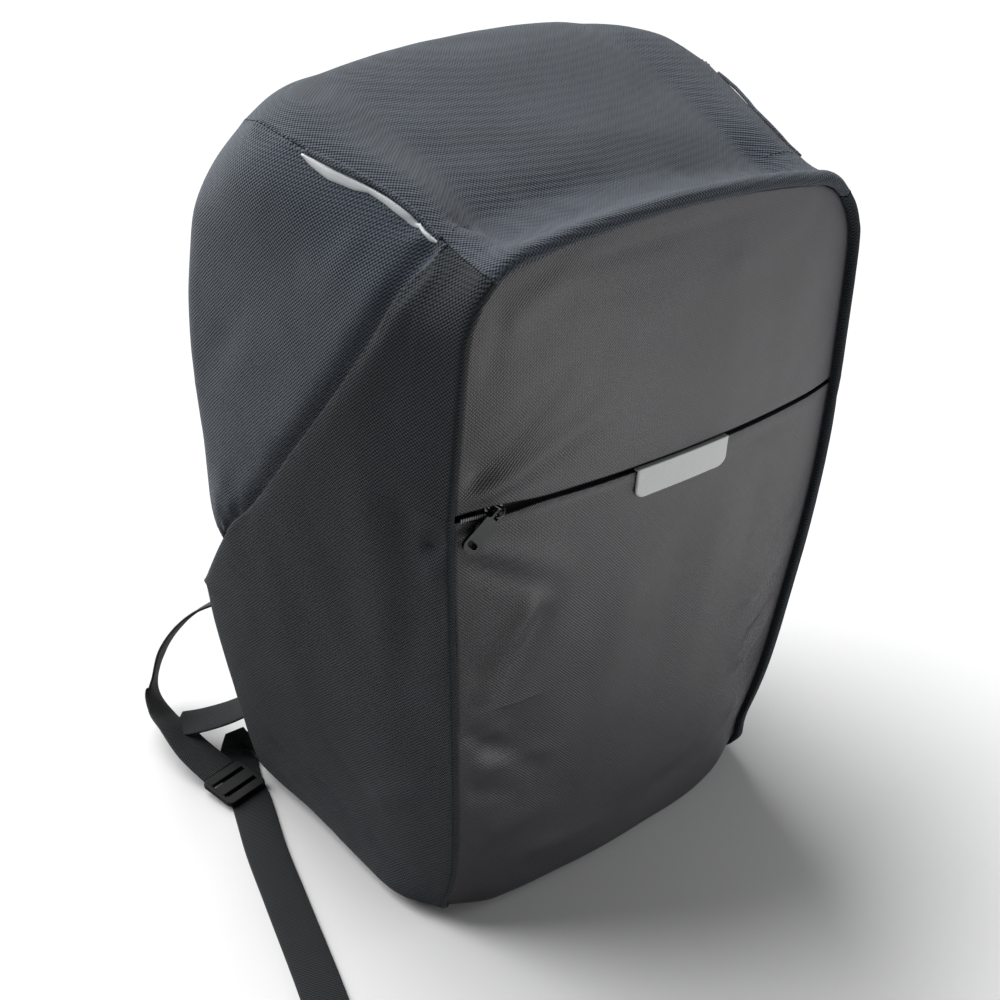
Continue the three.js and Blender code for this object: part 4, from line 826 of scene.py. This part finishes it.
# %% Seam lines
# the top seam on the right, in millimetres; the left is its mirror image
TOP_SEAM = [
    (129.8, -56.5, 401.8), (131, -46.6, 403.8), (133.1, -34.8, 407), (135.5, -23, 410.5), (138.5, -7.2, 415),
    (141.3, 8.5, 419.4), (144.1, 24.3, 423.6), (146.8, 40.1, 427.7), (149, 55.8, 431.3), (147.9, 71.6, 430.9),
    (143.8, 87.3, 427), (137.4, 101.1, 420.1),
]


def surface_of(piece):
    """A piece's surface, to find the nearest places on it."""
    return BVHTree.FromObject(piece, bpy.context.evaluated_depsgraph_get())


top_surface = surface_of(top)


def seam_line(table, sign, count, laid=False):
    """A smooth seam through a table, mirrored for sign -1, eased like the cloth and laid on the top."""
    rows = [(sign * x, y, z) for x, y, z in table]
    line = eased(smooth_line(rows, count) * MM)
    if laid:
        line = np.array([top_surface.find_nearest(Vector(point))[0] for point in line])
    return line


# shares of the lip's length from the front, and how far it stands off there: it bends in at two places
LIP_PLACES = [0, 0.05, 0.18, 0.25, 0.4, 0.57, 0.65, 0.8, 0.93, 1]
LIP_STANDS = [0, 0.25, 0.18, 0.5, 0.55, 0.35, 0.8, 1, 0.5, 0]


print("top seam from", TOP_SEAM[0], "to", TOP_SEAM[-1])

# %% Stitches
THREAD_RADIUS = 0.32 * MM


def stitches(name, line, lift, gap, long):
    """Short threads, long metres each, every gap metres along a line, lifted by a vector."""
    steps = np.linalg.norm(np.diff(line, axis=0), axis=1)
    run = np.concatenate([[0], np.cumsum(steps)])
    mesh = bmesh.new()
    at = gap / 2
    while at < run[-1] - long:
        a, b = [np.array([np.interp(x, run, line[:, i]) for i in range(3)]) for x in (at, at + long)]
        middle = Vector((a + b) / 2 + np.array(lift))
        turn = Vector(b - a).to_track_quat("Z", "Y").to_matrix().to_4x4()
        shape = Matrix.Translation(middle) @ turn @ Matrix.Diagonal((THREAD_RADIUS, THREAD_RADIUS, long / 2, 1))
        bmesh.ops.create_icosphere(mesh, subdivisions=1, radius=1, matrix=shape)
        at += gap
    data = mesh_of(name, mesh)
    shade_smooth(data)
    return placed(name, data, thread)


print("stitches are", 2 * THREAD_RADIUS / MM, "mm thick")

# %% The pleat's folded edge
PLEAT_STEPS = 90
PLEAT_RADIUS = 2.6 * MM


def pleat_edge(side, sign):
    """The rolled edge of one pleat. It is thin at its ends, and full after 8 steps below and 14 above."""
    fold = seam_line(PLEAT_LINE, sign, PLEAT_STEPS)
    inward = np.array([-sign * 1.6, -1.6, -0.6]) * MM
    full = [0.35 + 0.65 * min(1, k / 8, (PLEAT_STEPS - k) / 14) for k in range(PLEAT_STEPS + 1)]
    radii = [(PLEAT_RADIUS * part, PLEAT_RADIUS * part * 0.8) for part in full]
    # the folded edge wears the same darker copy of the cloth, painted shade
    tube(f"pleat_fold_{side}", fold + inward, [(sign, 0, 0)] * len(full), radii, painted_shade_polyester)


print("a pleat's edge is up to", 2 * PLEAT_RADIUS / MM, "mm thick")

# %% Light strip, lip and stitches at a top seam
SEAM_STEPS = 120
OPEN_PART, SEWN_PART = slice(6, 72), slice(76, 104)
DART = [(125, -51, 405), (118, -48, 406), (104.5, -44.2, 406)]


def open_seam(side, sign, rear):
    """A top seam: its light strip on the rear side, the lip above it, and the stitches behind and in front."""
    seam = seam_line(TOP_SEAM, sign, SEAM_STEPS, True)
    open_part = seam[OPEN_PART]
    count = len(open_part)
    stand = [float(np.interp(k / (count - 1), LIP_PLACES, LIP_STANDS)) for k in range(count)]
    outward = np.array([sign * 0.8, 0, 0.6])
    # the strip's line is first taken 4 mm outside the seam and then laid on the side's outer face
    below = [Vector(p) + Vector((sign * 4, 0, -0.6 - 2.2 * w)) * MM for p, w in zip(open_part, stand)]
    side_surface = surface_of(rear)
    found = [side_surface.find_nearest(point)[:2] for point in below]
    strip = np.array([place + normal * 0.15 * MM for place, normal in found])
    flat = [(0.45 * MM, (0.5 + 2.8 * max(0.05, w)) * MM) for w in stand]
    tube(f"light_strip_{side}", strip, [tuple(normal) for _, normal in found], flat, bead_strip,
         "seam_strip_" + side)
    lip = np.array([p + outward * (0.3 + 1.3 * w) * MM for p, w in zip(open_part, stand)])
    roll = [((0.9 + 1.2 * w) * MM, 1.1 * MM) for w in stand]
    tube(f"seam_lip_{side}", lip, [(sign * 0.7, 0, -0.7)] * count, roll, woven_polyester)
    stitches(f"seam_stitches_{side}", seam[SEWN_PART], outward * 0.3 * MM, 3.2 * MM, 2.0 * MM)
    dart = seam_line(DART, sign, 10, True)
    stitches(f"dart_stitches_{side}", dart, (0, 0, 0.3 * MM), 2.6 * MM, 1.6 * MM)
    print(f"light strip {side}: {np.linalg.norm(np.diff(open_part, axis=0), axis=1).sum() / MM:.0f} mm long")


for side, sign, rear in (("left", -1, rear_left), ("right", 1, rear_right)):
    pleat_edge(side, sign)
    open_seam(side, sign, rear)

# %% [markdown]
# ## Zip, slider and puller
# The pocket zip is a nylon coil: two spirals that lock, sewn to a tape behind the slit. At this distance the
# coil reads as a row of fine teeth, so it is a row of small beads. The slider, the puller and the buckles keep
# the shapes of their solids. The puller and the buckles get a small bevel that catches the light.

# %% Hard pieces
def dress(node, materials, bevel=0.0):
    """Gives a solid its finish, and a small bevel with the last finish where one is named."""
    solid = nodes[node]
    solid.data.materials.clear()
    for material in materials:
        solid.data.materials.append(material)
    if bevel:
        weld = solid.modifiers.new("weld", "WELD")
        weld.merge_threshold = 1e-6
        edge = solid.modifiers.new("bevel", "BEVEL")
        edge.width = bevel
        edge.segments = 3
        edge.limit_method = "ANGLE"
        edge.angle_limit = math.radians(50)
        edge.material = len(materials) - 1
    return solid


dress("zip_slider", [black_enamel])
dress("strap_lock_left", [nylon], 0.6 * MM)
dress("strap_lock_right", [nylon], 0.6 * MM)
dress("pocket_zip", [zip_tape])
# the puller's two wide faces are lacquered, and its rims, which face away from them, are enamelled
puller = dress("zip_puller", [puller_face, black_enamel], 0.5 * MM)
plate = max(puller.data.polygons, key=lambda face: face.area).normal.copy()
for face in puller.data.polygons:
    face.material_index = int(abs(face.normal.dot(plate)) < 0.6)

# %% Closed coil
# the part of the coil that shows left of the slider, a little below the slit's upper edge
COIL_START, COIL_END = Vector((-0.1375, -0.0878, 0.2762)), Vector((-0.1225, -0.0902, 0.2762))
COIL_PITCH = 1.3 * MM


def zip_coil(name, start, end, pitch):
    """The closed coil between two points on the slit, as a row of small beads that cross it."""
    mesh = bmesh.new()
    run = end - start
    for k in range(int(run.length / pitch)):
        middle = start + run * (k + 0.5) * pitch / run.length
        shape = Matrix.Translation(middle) @ Matrix.Diagonal((0.38 * pitch, 0.5 * MM, 1.3 * MM, 1))
        bmesh.ops.create_icosphere(mesh, subdivisions=2, radius=1, matrix=shape)
    data = mesh_of(name, mesh)
    shade_smooth(data)
    return placed(name, data, coil_nylon)


zip_coil("closed_coil", COIL_START, COIL_END, COIL_PITCH)
print("coil teeth", COIL_PITCH / MM, "mm apart")

# %% [markdown]
# ## Floor and light
# The bag stands on a pale floor under soft daylight. The top and the left rear side are the brightest and
# the pleated side is dark, so the main light comes from above and behind the left side. A wide sun lamp
# gives it, which lights the floor evenly as far as the picture reaches. A square lamp in front on the right
# draws the soft highlights on the coated cloth, which fade towards the left as in the picture. A small low lamp
# adds to the light that the floor throws back onto the pocket.

# %% Floor
FLOOR_SIDE = 80
FLOOR_DEPTH = 0.2 * MM
floor_paint, tree = blank("matt_white_floor")
place = add(tree, "TexCoord").outputs["Object"]
grain = add(tree, "TexNoise", {"Scale": 3.0, "Detail": 3.0}, {"Vector": place})
ramp = add(tree, "ValToRGB", links={0: grain.outputs[0]})
ramp.color_ramp.elements[0].color = linear("#a4a4a4")
ramp.color_ramp.elements[1].color = linear("#a9a9a9")
finish_with(tree, add(tree, "BsdfPrincipled", {"Roughness": 0.9, "Specular IOR Level": 0.1},
                      {"Base Color": ramp.outputs[0]}))
bpy.ops.mesh.primitive_plane_add(size=FLOOR_SIDE, location=(0, 0, -FLOOR_DEPTH))
floor = bpy.context.object
floor.name = "floor"
floor.data.materials.append(floor_paint)
print("floor:", FLOOR_SIDE, "m wide")

# %% Daylight and lamps
WORLD_LIGHT = 0.2
SUN_LIGHT = 11.4
SUN_WIDTH = math.radians(70)
SUN_FROM = Vector((-0.18, 0.72, 0.68))
world = bpy.data.worlds.new("daylight")
bpy.context.scene.world = world
world.use_nodes = True
sky_paint = world.node_tree.nodes["Background"]
sky_paint.inputs["Color"].default_value = (1.0, 1.0, 1.0, 1.0)
sky_paint.inputs["Strength"].default_value = WORLD_LIGHT


def lamp(name, place, target, size, power):
    """A square soft lamp at place that faces target, and that doesn't show itself in other views."""
    light = bpy.data.lights.new(name, "AREA")
    light.size = size
    light.energy = power
    thing = bpy.data.objects.new(name, light)
    thing.location = place
    thing.rotation_euler = (Vector(target) - Vector(place)).to_track_quat("-Z", "Y").to_euler()
    thing.visible_camera = False
    bpy.context.scene.collection.objects.link(thing)
    return thing


sky = bpy.data.objects.new("soft_sky", bpy.data.lights.new("soft_sky", "SUN"))
sky.data.energy = SUN_LIGHT
sky.data.angle = SUN_WIDTH
sky.rotation_euler = SUN_FROM.to_track_quat("Z", "Y").to_euler()
bpy.context.scene.collection.objects.link(sky)
window = lamp("front_window", place=(1.05, -0.62, 0.62), target=(0, 0, 0.25), size=0.6, power=3.9)
window.data.color = (0.93, 0.96, 1.0)
lamp("floor_glow", place=(0.26, -0.6, 0.1), target=(0.02, -0.1, 0.05), size=0.3, power=2.4)
bpy.context.scene.view_settings.view_transform = "Standard"
